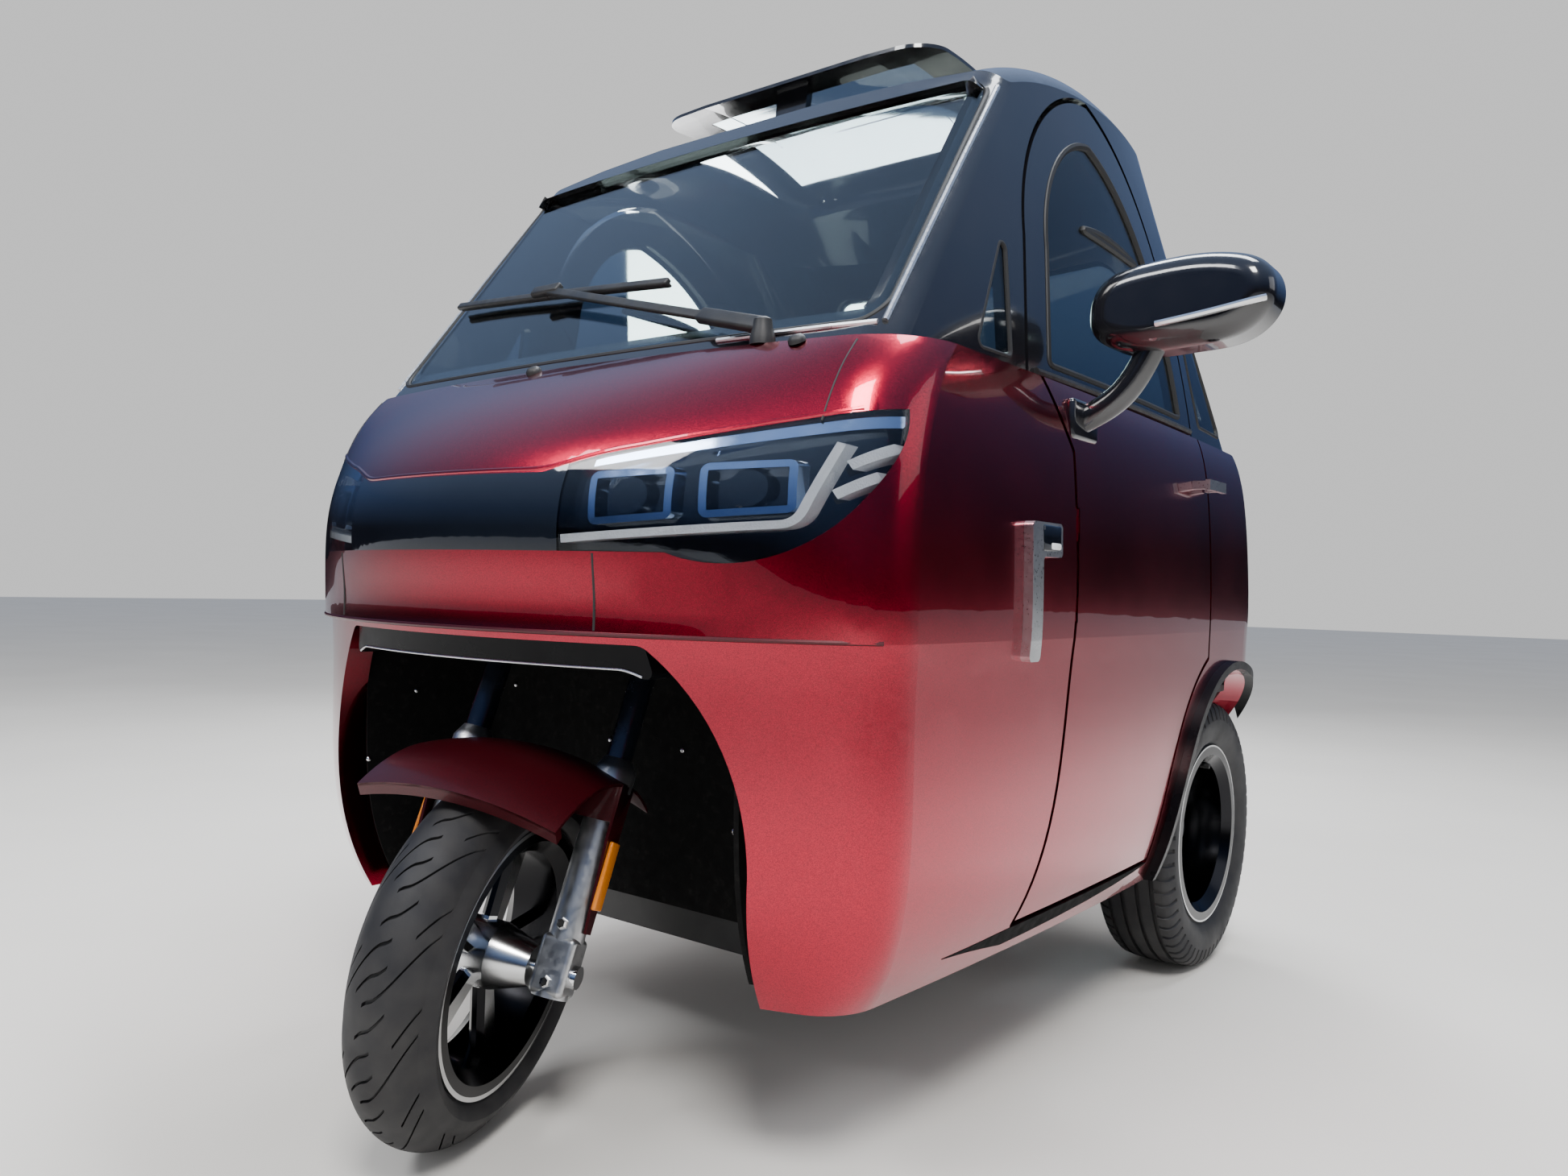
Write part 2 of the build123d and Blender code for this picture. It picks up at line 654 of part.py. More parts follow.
# Sills, rear quarters and tail
side_shell = (body_shell & left_half) - door_hole
sill = side_shell & sill_zone
parts["sills"] = both_sides(sill - arch_hole)
quarter_zone = block(0, SIDE_X, 0, TAIL_SPLIT_Y, 0, BELT_Z)
quarter = (side_shell & quarter_zone) - sill_zone - arch_hole
quarter = quarter.solids().sort_by(Axis.Y)[-1]
parts["rear_quarters"] = both_sides(quarter)
ring = tube_x(ARCH_R + ARCH_TRIM_W, ARCH_TRIM_INNER_X, SIDE_X, REAR_AXLE_Y, REAR_TYRE_R) - arch_hole
proud = plan_loft(SKIRT, -ARCH_TRIM_PROUD) - skirt_outer
parts["arch_trims"] = both_sides((proud & ring) & block(SILL_INNER_X, SIDE_X, 0, BEHIND_Y, SKIRT_Z, CREASE_Z))

tail_shell = (body_shell & tail_zone) - arch_hole - other_side(arch_hole)
gate_face = Pos(0, (TAILGATE_LOW_Z + TAILGATE_HIGH_Z) / 2) * RectangleRounded(
    2 * TAILGATE_HALF, TAILGATE_HIGH_Z - TAILGATE_LOW_Z, TAILGATE_ROUND
)
gate_hole = front_cut(gate_face, TAIL_FRONT_Y, BEHIND_Y)
gate_fill = front_cut(offset(gate_face, -DOOR_GAP), TAIL_FRONT_Y, BEHIND_Y)
tail_lamp_face = Pos(*TAIL_LAMP_AT) * RectangleRounded(TAIL_LAMP_W, TAIL_LAMP_H, TAIL_LAMP_ROUND)
tail_lamp = plan_loft(NOSE, -TAIL_LAMP_PROUD) - plan_loft(NOSE, TAIL_LAMP_DEEP)
tail_lamp = tail_lamp & front_cut(tail_lamp_face, TAIL_FRONT_Y, BEHIND_Y)
parts["tail_lamps"] = both_sides(tail_lamp)
hinge_x0, hinge_x1 = GATE_HINGE_X
ear_x0, ear_x1 = hinge_x0 + GATE_EAR_T, hinge_x1 - GATE_EAR_T
arm_x0, arm_x1 = ear_x0 + GATE_KNUCKLE_GAP, ear_x1 - GATE_KNUCKLE_GAP
ear_y = (GATE_EAR_FRONT_Y, GATE_EAR_BACK_Y)
ear_z = (GATE_AXIS_Z - PIN_R, GATE_AXIS_Z + GATE_EAR_RISE)
gate_pin = tube_x(PIN_R, hinge_x0, hinge_x1, GATE_AXIS_Y, GATE_AXIS_Z)
ears = block(hinge_x0, ear_x0, *ear_y, *ear_z) + block(ear_x1, hinge_x1, *ear_y, *ear_z)
knuckle = tube_x(KNUCKLE_R, arm_x0, arm_x1, GATE_AXIS_Y, GATE_AXIS_Z)
arm_y = (GATE_AXIS_Y - GATE_ARM_BACK, GATE_AXIS_Y + GATE_KNUCKLE_GAP)
knuckle += block(arm_x0, arm_x1, *arm_y, GATE_AXIS_Z - GATE_ARM_DROP, GATE_AXIS_Z)
knuckle -= tube_x(PIN_R + SPIN_CLEARANCE, hinge_x0, hinge_x1, GATE_AXIS_Y, GATE_AXIS_Z)
knuckle_room = tube_x(KNUCKLE_R + KNUCKLE_CLEAR, ear_x0, ear_x1, GATE_AXIS_Y, GATE_AXIS_Z)
tail_panel = tail_shell - gate_hole - tail_lamp - other_side(tail_lamp) - both_sides(knuckle_room)
parts["tail_panel"] = tail_panel + both_sides(ears + gate_pin)
parts["tailgate"] = (tail_shell & gate_fill) + both_sides(knuckle)

# Cabin: pillars, roof, rear frame and the fixed glass
screen_hole = front_cut(rounded_face(SCREEN_PANE, SCREEN_ROUND), AHEAD_Y, SCREEN_BACK_Y)
rear_hole = front_cut(rounded_face(REAR_PANE, REAR_PANE_ROUND), REAR_PANE_FRONT_Y, REAR_PANE_BACK_Y)
quarter_hole = side_cut(rounded_face(QUARTER_PANE, QUARTER_ROUND), QUARTER_INNER_X)
rear_quarter_hole = side_cut(rounded_face(REAR_QUARTER_PANE, REAR_QUARTER_ROUND), SIDE_PANE_X)
side_holes = quarter_hole + rear_quarter_hole
sunroof_face = Pos(0, (SUNROOF_FRONT_Y + SUNROOF_BACK_Y) / 2) * RectangleRounded(
    2 * SUNROOF_HALF, SUNROOF_BACK_Y - SUNROOF_FRONT_Y, SUNROOF_ROUND
)


def roof_cut(inset):
    """The sunroof's outline, drawn in by inset, cut down through the roof."""
    face = offset(sunroof_face, -inset) if inset else sunroof_face
    return extrude(Pos(0, 0, SUNROOF_CUT_Z) * face, SUNROOF_CUT_H)


fixed = cabin_shell - door_hole - other_side(door_hole) - screen_hole - rear_hole
fixed = fixed - side_holes - other_side(side_holes) - roof_cut(SUNROOF_BORDER / 2)
parts["roof_panel"] = fixed & block(-SIDE_X, SIDE_X, AHEAD_Y, BEHIND_Y, ROOF_SPLIT_Z, SKY_Z)
low_cabin = fixed & block(-SIDE_X, SIDE_X, AHEAD_Y, BEHIND_Y, 0, ROOF_SPLIT_Z)
parts["screen_pillars"] = low_cabin & block(-SIDE_X, SIDE_X, AHEAD_Y, PILLAR_SPLIT_Y, 0, SKY_Z)
parts["rear_frame"] = low_cabin & block(-SIDE_X, SIDE_X, PILLAR_SPLIT_Y, BEHIND_Y, 0, SKY_Z)
pane = cabin_solid(GLASS_INSET) - cabin_solid(GLASS_INSET + GLASS_T)
parts["windscreen"] = pane & screen_hole
parts["rear_glass"] = (pane & rear_hole) + both_sides(pane & rear_quarter_hole)
parts["quarter_glass"] = both_sides(pane & quarter_hole)

# Sunroof, lying just above the roof and then turned open about its rear edge
panel = (cabin_solid(-SUNROOF_LIFT - SUNROOF_T) - cabin_solid(-SUNROOF_LIFT)) & roof_cut(0)
clear_cut = roof_cut(2 * SUNROOF_BORDER)
hinge_y = SUNROOF_BACK_Y
hinge_z = ROOF_PEAK_Z - (hinge_y - ROOF_PEAK_Y) ** 2 / (2 * ROOF_BACK_R) + SUNROOF_HINGE_RISE
sunroof_axis = Axis((0, hinge_y, hinge_z), (1, 0, 0))
latch = block(-LATCH_HALF, LATCH_HALF, *LATCH_Y, LATCH_LOW_Z, ROOF_PEAK_Z - LATCH_DROP)
knuckle_x0, knuckle_x1 = SUNROOF_KNUCKLE_X
ear_x0, ear_x1 = SUNROOF_EAR_X
roof_knuckle = tube_x(SUNROOF_KNUCKLE_R, knuckle_x0, knuckle_x1, hinge_y, hinge_z)
arm_z = (hinge_z - SUNROOF_ARM_LOW, hinge_z + SUNROOF_ARM_HIGH)
roof_knuckle += block(knuckle_x0, knuckle_x1, hinge_y - SUNROOF_ARM_L, hinge_y, *arm_z)
pin_x = (knuckle_x0 - SUNROOF_EAR_GAP, ear_x1 - SUNROOF_EAR_GAP)
roof_pin_bore = tube_x(SUNROOF_PIN_R + SPIN_CLEARANCE, *SUNROOF_BORE_X, hinge_y, hinge_z)
roof_pin = tube_x(SUNROOF_PIN_R, *pin_x, hinge_y, hinge_z)
ear_y = (hinge_y - SUNROOF_EAR_FRONT, hinge_y + SUNROOF_EAR_BACK)
roof_ear = block(ear_x0, ear_x1, *ear_y, hinge_z - SUNROOF_EAR_DROP, hinge_z + SUNROOF_EAR_RISE)
parts["roof_panel"] += both_sides(roof_ear + roof_pin)
room_y = (hinge_y - 2 * SUNROOF_EAR_FRONT, hinge_y + SUNROOF_EAR_DROP)
ear_room = block(
    ear_x0 - SUNROOF_EAR_GAP, ear_x1 + SUNROOF_EAR_GAP, *room_y, SUNROOF_CUT_Z, SUNROOF_CUT_Z + SUNROOF_CUT_H
)
frame_ring = panel - clear_cut - both_sides(ear_room) + latch + both_sides(roof_knuckle)
frame_ring -= both_sides(roof_pin_bore)
parts["sunroof_frame"] = frame_ring.rotate(sunroof_axis, -SUNROOF_OPEN)
parts["sunroof_glass"] = (panel & clear_cut).rotate(sunroof_axis, -SUNROOF_OPEN)

# Doors
door_window = above(offset(door_outline(-DOOR_GAP / 2), -DOOR_FRAME_W), DOOR_WINDOW_LOW_Z)
door_window_cut = side_cut(door_window, SIDE_PANE_X)
door_panel = ((body_shell & door_fill) - hinge_pockets) + hinge_knuckles
door_frame = (cabin_shell & door_fill) - door_window_cut
door_glass = pane & door_window_cut
handle_x, handle_y, handle_z = HANDLE_AT
handle = Pos(handle_x + HANDLE_SIZE[0] / 2, handle_y, handle_z) * Box(*HANDLE_SIZE)
feet = Part()
for foot_y in HANDLE_FEET_Y:
    feet += Pos(handle_x + HANDLE_FOOT_LAP - HANDLE_FOOT[0] / 2, foot_y, handle_z) * Box(*HANDLE_FOOT)
mirror_face = make_face(Spline(*MIRROR_HIGH, *MIRROR_LOW, periodic=True))
mirror_shell = front_cut(mirror_face, MIRROR_Y - MIRROR_DEEP / 2, MIRROR_Y + MIRROR_DEEP / 2)
mirror_shell = fillet(mirror_shell.faces().sort_by(Axis.Y)[0].edges(), MIRROR_ROUND)
mirror_shell = fillet(mirror_shell.faces().sort_by(Axis.Y)[-1].edges(), MIRROR_RIM_R)
arm_points = [(x, MIRROR_Y, z) for x, z in MIRROR_ARM]
arm_plane = Plane(arm_points[0], x_dir=(0, 1, 0), z_dir=MIRROR_ARM_START)
arm_path = Spline(*arm_points, tangents=(MIRROR_ARM_START, MIRROR_ARM_END))
mirror_arm = sweep(arm_plane * Ellipse(MIRROR_ARM_W / 2, MIRROR_ARM_T / 2), arm_path)
door_solids = {
    "panel": door_panel,
    "frame": door_frame,
    "glass": door_glass,
    "handle": handle + (feet - nose_outer),
    "mirror": mirror_shell + (mirror_arm - nose_outer),
}
for piece, solid in door_solids.items():
    parts[f"door_left_{piece}"] = solid
    parts[f"door_right_{piece}"] = other_side(solid)

# Floor, wheel housing and chassis
floor = block(-SIDE_X, SIDE_X, TOE_BOARD_Y, FLOOR_BACK_Y, RAIL_HIGH_Z, RAIL_HIGH_Z + FLOOR_T)
toe = block(-SIDE_X, SIDE_X, TOE_BOARD_Y, TOE_BOARD_Y + FLOOR_T, RAIL_HIGH_Z, CREASE_Z)
parts["floor_pan"] = (floor + toe) & skirt_inner
deck = block(-SIDE_X, SIDE_X, DECK_FRONT_Y, DECK_BACK_Y, DECK_Z, DECK_Z + FLOOR_T) & skirt_inner
leg_x = (RAIL_X - DECK_LEG_W / 2, RAIL_X + DECK_LEG_W / 2)
for y0, y1 in DECK_LEGS_Y:
    deck += both_sides(block(*leg_x, y0, y1, REAR_RAIL_HIGH_Z, DECK_Z))
parts["rear_deck"] = deck

inside = skirt_inner + nose_inner
liner_half = [(LINER_FRONT_HALF, LINER_FRONT_Y), (LINER_BACK_HALF, LINER_BACK_Y)]
liner_plan = make_face(Polyline(*liner_half, *mirrored_points(liner_half), close=True))
liner_plan = fillet(liner_plan.vertices().sort_by(Axis.Y)[-2:], LINER_ROUND)
liner_low = SKIRT_Z + LINER_RISE
liner = extrude(Pos(0, 0, liner_low) * liner_plan, LINER_TOP_Z + LINER_T - liner_low)
liner_space = extrude(Pos(0, 0, SKIRT_Z) * offset(liner_plan, -LINER_T), LINER_TOP_Z - SKIRT_Z)
gap_half = LINER_FRONT_HALF - LINER_T
front_gap = block(-gap_half, gap_half, AHEAD_Y, LINER_OPEN_Y, 0, LINER_TOP_Z)

rake_up = (0, sin(radians(RAKE)), cos(radians(RAKE)))
rake_back = (0, cos(radians(RAKE)), -sin(radians(RAKE)))
tube_r = FRONT_TYRE_W / 2
lean = sin(radians(RAKE)) * sin(radians(REST_STEER))
axle_drop = FORK_OFFSET * sin(radians(RAKE)) * (1 - cos(radians(REST_STEER)))
front_axle_z = (FRONT_TYRE_R - tube_r) * sqrt(1 - lean**2) + tube_r + axle_drop
steer_point = (0, FRONT_AXLE_Y + FORK_OFFSET * rake_back[1], front_axle_z + FORK_OFFSET * rake_back[2])
steer_plane = Plane(steer_point, x_dir=(1, 0, 0), z_dir=rake_up)


def on_steering_axis(radius, low, high):
    """A cylinder about the steering axis, between two heights along it."""
    return steer_plane * (Pos(0, 0, (low + high) / 2) * Cylinder(radius, high - low))


head_tube = on_steering_axis(HEAD_TUBE_R, HEAD_TUBE_LOW, HEAD_TUBE_HIGH)
stem_bore = on_steering_axis(STEM_R + SPIN_CLEARANCE, 0, HEAD_TUBE_HIGH + BORE_L)
tube_hole = on_steering_axis(HEAD_TUBE_HOLE_R, YOKE_LOW, HEAD_TUBE_HIGH)
parts["wheel_liner"] = ((liner - liner_space - front_gap) & inside) - tube_hole

rail_x = (RAIL_X - RAIL_W / 2, RAIL_X + RAIL_W / 2)
cross_x = (-RAIL_X - RAIL_W / 2, RAIL_X + RAIL_W / 2)
rail_z = (RAIL_LOW_Z, RAIL_HIGH_Z)
rear_rail_z = (REAR_RAIL_LOW_Z, REAR_RAIL_HIGH_Z)
rails = block(*rail_x, RAIL_FRONT_Y, RAIL_STEP_Y[1], *rail_z)
rails += block(*rail_x, RAIL_STEP_Y[0], RAIL_BACK_Y, *rear_rail_z)
rails += block(*rail_x, *RAIL_STEP_Y, RAIL_LOW_Z, REAR_RAIL_HIGH_Z)
rails += Pos(POST_X, POST_Y, (RAIL_LOW_Z + NECK_Z) / 2) * Cylinder(POST_R, NECK_Z - RAIL_LOW_Z)
rails += Pos(POST_X, STRUT_Y, NECK_Z) * Rot(90, 0, 0) * Cylinder(POST_R, STRUT_L)
frame = both_sides(rails)
frame += block(*cross_x, FRONT_CROSS_Y, RAIL_FRONT_Y, *rail_z)
frame += block(*cross_x, *MID_CROSS_Y, *rail_z)
frame += block(*cross_x, *RAIL_STEP_Y, *rail_z)
frame += block(*cross_x, BACK_CROSS_Y, RAIL_BACK_Y, *rear_rail_z)
frame += block(-NECK_HALF, NECK_HALF, *NECK_Y, NECK_Z - POST_R, NECK_Z + POST_R)
parts["chassis_frame"] = (frame + head_tube) - stem_bore


def on_rear_axle(radius, x0, x1):
    return tube_x(radius, x0, x1, REAR_AXLE_Y, REAR_TYRE_R)


axle = on_rear_axle(REAR_AXLE_R, -REAR_AXLE_HALF, REAR_AXLE_HALF)
axle += on_rear_axle(MOTOR_R, -MOTOR_HALF, MOTOR_HALF)
axle += both_sides(on_rear_axle(REAR_STUB_R, *REAR_STUB_X))
axle += both_sides(on_rear_axle(DRUM_R, DRUM_X, REAR_AXLE_HALF))
parts["rear_axle"] = axle
leaf_y0, leaf_y1 = LEAF_END_Y
leaf_mid, leaf_top_z = (REAR_AXLE_Y, LEAF_LOW_Z), LEAF_LOW_Z + LEAF_T
leaf_edge = ThreePointArc((leaf_y0, REAR_RAIL_LOW_Z), leaf_mid, (leaf_y1, REAR_RAIL_LOW_Z))
leaf_top = ThreePointArc(
    (leaf_y0 + LEAF_EYE, REAR_RAIL_LOW_Z), (REAR_AXLE_Y, leaf_top_z), (leaf_y1 - LEAF_EYE, REAR_RAIL_LOW_Z)
)
leaf_ends = [Line(leaf_edge @ 0, leaf_top @ 0), Line(leaf_edge @ 1, leaf_top @ 1)]
leaf_face = make_face([leaf_edge, leaf_top, *leaf_ends])
parts["leaf_springs"] = both_sides(side_cut(leaf_face, RAIL_X - LEAF_HALF_W, RAIL_X + LEAF_HALF_W))
parts["battery_box"] = block(-BATTERY_HALF, BATTERY_HALF, *BATTERY_Y, RAIL_HIGH_Z + FLOOR_T, BATTERY_TOP_Z)
cushion = block(-CUSHION_HALF, CUSHION_HALF, *CUSHION_Y, BATTERY_TOP_Z, CUSHION_TOP_Z)
parts["seat_cushion"] = fillet(cushion.edges(), SEAT_ROUND)
seat_back = block(-SEAT_BACK_HALF, SEAT_BACK_HALF, 0, SEAT_BACK_T, 0, SEAT_BACK_H)
seat_back = fillet(seat_back.edges(), SEAT_ROUND)
parts["seat_back"] = Pos(*SEAT_BACK_AT) * Rot(-SEAT_BACK_LEAN, 0, 0) * seat_back
parts["dash_shelf"] = block(-SIDE_X, SIDE_X, *DASH_Y, *DASH_Z) & nose_inner


# Wiper, parked across the lower part of the screen


def screen_point(x, z, proud):
    """A point on the outside of the screen, stood off it by proud."""
    low, high = CABIN[0], CABIN[1]
    share = (z - low.z) / (high.z - low.z)
    nose_y = low.nose_y + share * (high.nose_y - low.nose_y)
    sag = (low.corner_y - low.nose_y) * (x / low.corner_x) ** 2
    return Vector(x, nose_y + sag - proud * SCREEN_COS, z + proud * SCREEN_SIN)


def beam(start, end, width, height):
    """A straight bar between two points, with its height square to the screen."""
    along = end - start
    plane = Plane((start + end) / 2, x_dir=along, z_dir=Vector(0, -SCREEN_COS, SCREEN_SIN))
    return plane * Box(along.length, width, height)


pivot = Pos(WIPER_PIVOT_X, WIPER_PIVOT_Y, BELT_Z + WIPER_PIVOT_H / 2) * Cylinder(WIPER_PIVOT_R, WIPER_PIVOT_H)
arm_start = Vector(WIPER_PIVOT_X, WIPER_PIVOT_Y, BELT_Z + WIPER_ARM_LIFT)
arm_end = screen_point(*WIPER_BLADE[1], WIPER_ARM_PROUD)
far_end, blade_mid, near_end = [screen_point(x, z, WIPER_PROUD) for x, z in WIPER_BLADE]
blade = beam(far_end, blade_mid, WIPER_BLADE_W, WIPER_BLADE_T)
blade += beam(blade_mid, near_end, WIPER_BLADE_W, WIPER_BLADE_T)
parts["wiper"] = pivot + beam(arm_start, arm_end, WIPER_ARM_W, WIPER_ARM_T) + blade

# Steered assembly, drawn upright about the steering axis and then turned to its parked angle
steer_pose = steer_plane.location * Rot(0, 0, REST_STEER)


def placed(part):
    return steer_pose * part


def across(radius, length, x=0):
    """A cylinder along the front axle, about its middle at x."""
    return Pos(x, -FORK_OFFSET, 0) * Rot(0, 90, 0) * Cylinder(radius, length)


def along_leg(radius, low, high):
    return Pos(LEG_SPREAD, -FORK_OFFSET, (low + high) / 2) * Cylinder(radius, high - low)


clamp = fillet(Box(CLAMP_W, CLAMP_W, CLAMP_H).edges(), CLAMP_ROUND)
leg = along_leg(LEG_R, LEG_LOW, LEG_HIGH) + Pos(LEG_SPREAD, -FORK_OFFSET, CLAMP_RISE) * clamp
leg -= across(FRONT_PIN_R, 2 * CLAMP_W, LEG_SPREAD)
parts["fork_legs"] = placed(both_sides(leg))
parts["fork_stanchions"] = placed(both_sides(along_leg(STANCHION_R, LEG_HIGH, STANCHION_HIGH)))
yoke_half = LEG_SPREAD + YOKE_LAP
yoke = block(-yoke_half, yoke_half, -FORK_OFFSET - YOKE_LAP, YOKE_BACK, YOKE_LOW, YOKE_LOW + YOKE_T)
stem = Pos(0, 0, (YOKE_LOW + BAR_HEIGHT) / 2) * Cylinder(STEM_R, BAR_HEIGHT - YOKE_LOW)
parts["steering_stem"] = placed(yoke + stem)
bar_points = [(-BAR_HALF, BAR_SWEEP), (-BAR_FLAT_HALF, 0), (BAR_FLAT_HALF, 0), (BAR_HALF, BAR_SWEEP)]
bar_path = FilletPolyline(*[(x, y, BAR_HEIGHT + BAR_R) for x, y in bar_points], radius=BAR_BEND_R)
bar = sweep(Plane(bar_path @ 0, z_dir=bar_path % 0) * Circle(BAR_R), bar_path)
parts["handlebar"] = placed(bar)
axle_pin = across(FRONT_PIN_R, 2 * (LEG_SPREAD + AXLE_END))
axle_pin += both_sides(across(AXLE_NUT_R, AXLE_NUT_T, LEG_SPREAD + LEG_R + AXLE_NUT_T / 2))
parts["front_axle"] = placed(axle_pin)


def guard_band(low, high, turn):
    """A crowned band over the front tyre, between two heights above its edge, turned through an angle."""
    edge, crown = FRONT_TYRE_R + GUARD_EDGE, FRONT_TYRE_R + GUARD_CROWN
    under = ThreePointArc((-GUARD_HALF, edge + low), (0, crown + low), (GUARD_HALF, edge + low))
    over = ThreePointArc((-GUARD_HALF, edge + high), (0, crown + high), (GUARD_HALF, edge + high))
    face = make_face([under, over, Line(under @ 0, over @ 0), Line(under @ 1, over @ 1)])
    return revolve(Plane.XZ * face, Axis.X, revolution_arc=turn)


guard = guard_band(0, GUARD_T, GUARD_FRONT + GUARD_BACK).rotate(Axis.X, -GUARD_BACK)
guard_lip = guard_band(-GUARD_LIP_DEEP, GUARD_T, GUARD_LIP_TURN).rotate(Axis.X, GUARD_FRONT - GUARD_LIP_TURN)
outer_x = LEG_SPREAD + LEG_R
front_y = -FORK_OFFSET - LEG_R
strap_top = FRONT_TYRE_R + GUARD_EDGE + GUARD_T / 2
stay_y = (front_y - BRACKET_T, front_y - SEAT_GAP)
stay = block(STAY_INNER_X, outer_x + BRACKET_T, *stay_y, STAY_LOW, strap_top)
strap_outline = [
    (front_y - BRACKET_T, strap_top),
    (-FORK_OFFSET + STRAP_TOP_W, strap_top),
    (-FORK_OFFSET + STRAP_FOOT_W, STRAP_LOW),
    (-FORK_OFFSET - STRAP_FOOT_W, STRAP_LOW),
    (front_y - BRACKET_T, STRAP_KNEE),
]
stay += side_cut(make_face(Polyline(*strap_outline, close=True)), outer_x + SEAT_GAP, outer_x + BRACKET_T)
mudguard = Pos(0, -FORK_OFFSET, 0) * (guard + guard_lip) + both_sides(stay)
mudguard -= both_sides(along_leg(LEG_R + SEAT_GAP, 0, BORE_L))
parts["mudguard"] = placed(mudguard)


# Wheels


def tyre(radius, width, flange_r, rim_w, crown):
    """A tyre drawn as half a section and turned about X."""
    w = width / 2
    shoulder = (w - TYRE_SHOULDER, radius - crown)
    bead = rim_w / 2 - RIM_LIP
    seat = flange_r - RIM_SEAT_DROP
    bulge_r = (flange_r + radius - crown) / 2 + TYRE_BULGE
    outer = [
        Line((-bead, seat), (bead, seat)),
        Line((bead, seat), (bead, flange_r)),
        ThreePointArc((bead, flange_r), (w, bulge_r), shoulder),
        ThreePointArc(shoulder, (0, radius), (-shoulder[0], shoulder[1])),
        ThreePointArc((-shoulder[0], shoulder[1]), (-w, bulge_r), (-bead, flange_r)),
        Line((-bead, flange_r), (-bead, seat)),
    ]
    return revolve(Plane.XY * make_face(outer), Axis.X)


def turned_face(half):
    """A wheel section drawn for +X, mirrored to -X and turned about the axle."""
    return revolve(Plane.XY * make_face(Polyline(*half, *mirrored_points(half), close=True)), Axis.X)


def rim(flange_r, rim_w, hub_r, hub_w, hub_taper, bore_r, spoke_w, dish):
    """Barrel, flanges, hub and spokes, with the hub moved outward by dish."""
    w = rim_w / 2
    seat = flange_r - RIM_SEAT_DROP
    well = flange_r - RIM_WELL_DROP
    inner_edge = [(w - RIM_SLOPE, well), (w, seat - RIM_LIP)]
    lip = [(w, flange_r), (w - RIM_LIP, flange_r), (w - RIM_LIP, seat)]
    wheel = turned_face(inner_edge + lip)
    hub_half = [(hub_w / 2, 0), (hub_w / 2, hub_r * hub_taper), (hub_w / 6, hub_r)]
    hub = Pos(dish, 0, 0) * turned_face(hub_half)
    inner, outer = hub_r - SPOKE_LAP, well + SPOKE_LAP
    arm_half = [(spoke_w * SPOKE_INNER_SHARE, inner), (spoke_w * SPOKE_OUTER_SHARE, outer)]
    arm_face = make_face(Polyline(*arm_half, *mirrored_points(arm_half), close=True))
    arm = Pos(dish - SPOKE_T / 2, 0, 0) * extrude(Plane.YZ * arm_face, SPOKE_T)
    long_edges = arm.edges().filter_by(Axis.X, reverse=True).filter_by(Axis.Y, reverse=True)
    arm = chamfer(long_edges, SPOKE_T / 3)
    for i in range(SPOKES):
        hub += arm.rotate(Axis.X, i * 360 / SPOKES)
    return wheel + hub - Rot(0, 90, 0) * Cylinder(bore_r, BORE_L)


front_place = Pos(0, -FORK_OFFSET, 0)
front_tyre = tyre(FRONT_TYRE_R, FRONT_TYRE_W, FRONT_FLANGE_R, FRONT_RIM_W, FRONT_CROWN_DROP)
front_hub = (FRONT_HUB_R, FRONT_HUB_W, FRONT_HUB_TAPER, FRONT_PIN_R + SPIN_CLEARANCE)
front_rim = rim(FRONT_FLANGE_R, FRONT_RIM_W, *front_hub, FRONT_SPOKE_W, 0)
parts["front_tyre"] = placed(front_place * front_tyre)
parts["front_rim"] = placed(front_place * front_rim)
rear_tyre = tyre(REAR_TYRE_R, REAR_TYRE_W, REAR_FLANGE_R, REAR_RIM_W, REAR_CROWN_DROP)
rear_hub = (REAR_HUB_R, REAR_HUB_W, REAR_HUB_TAPER, REAR_STUB_R + SPIN_CLEARANCE)
rear_rim = rim(REAR_FLANGE_R, REAR_RIM_W, *rear_hub, REAR_SPOKE_W, REAR_DISH)
rear_place = Pos(REAR_TRACK / 2, REAR_AXLE_Y, REAR_TYRE_R)
for side, turn in [("left", lambda p: p), ("right", other_side)]:
    parts[f"rear_tyre_{side}"] = turn(rear_place * rear_tyre)
    parts[f"rear_rim_{side}"] = turn(rear_place * rear_rim)


if __name__ == "__main__":
    os.makedirs("parts", exist_ok=True)
    for name, part in parts.items():
        solids = part.solids()
        shape = solids[0] if len(solids) == 1 else Compound(children=list(solids))
        export_step(shape, f"parts/{name}.step")
        print(name, len(solids), round(part.volume / 1000), part.is_valid)
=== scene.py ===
import bpy
import bmesh
from math import cos, pi, radians, sin
from mathutils import Matrix, Vector
from mathutils.bvhtree import BVHTree


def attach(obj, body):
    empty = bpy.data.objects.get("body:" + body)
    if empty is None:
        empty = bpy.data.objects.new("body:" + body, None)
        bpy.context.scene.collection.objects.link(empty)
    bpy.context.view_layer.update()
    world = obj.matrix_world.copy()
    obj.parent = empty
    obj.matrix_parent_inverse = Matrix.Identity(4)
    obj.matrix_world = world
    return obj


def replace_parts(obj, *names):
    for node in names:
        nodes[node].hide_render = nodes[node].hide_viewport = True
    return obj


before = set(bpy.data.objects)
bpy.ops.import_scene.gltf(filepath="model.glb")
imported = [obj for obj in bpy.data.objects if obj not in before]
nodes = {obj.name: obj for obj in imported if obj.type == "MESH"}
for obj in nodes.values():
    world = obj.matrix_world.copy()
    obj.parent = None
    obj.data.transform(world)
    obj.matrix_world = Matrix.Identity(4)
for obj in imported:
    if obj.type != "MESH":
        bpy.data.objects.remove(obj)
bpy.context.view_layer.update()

# Three-wheeled cabin scooter. Metres, +Z up, the front faces -Y and the driver's left is +X.

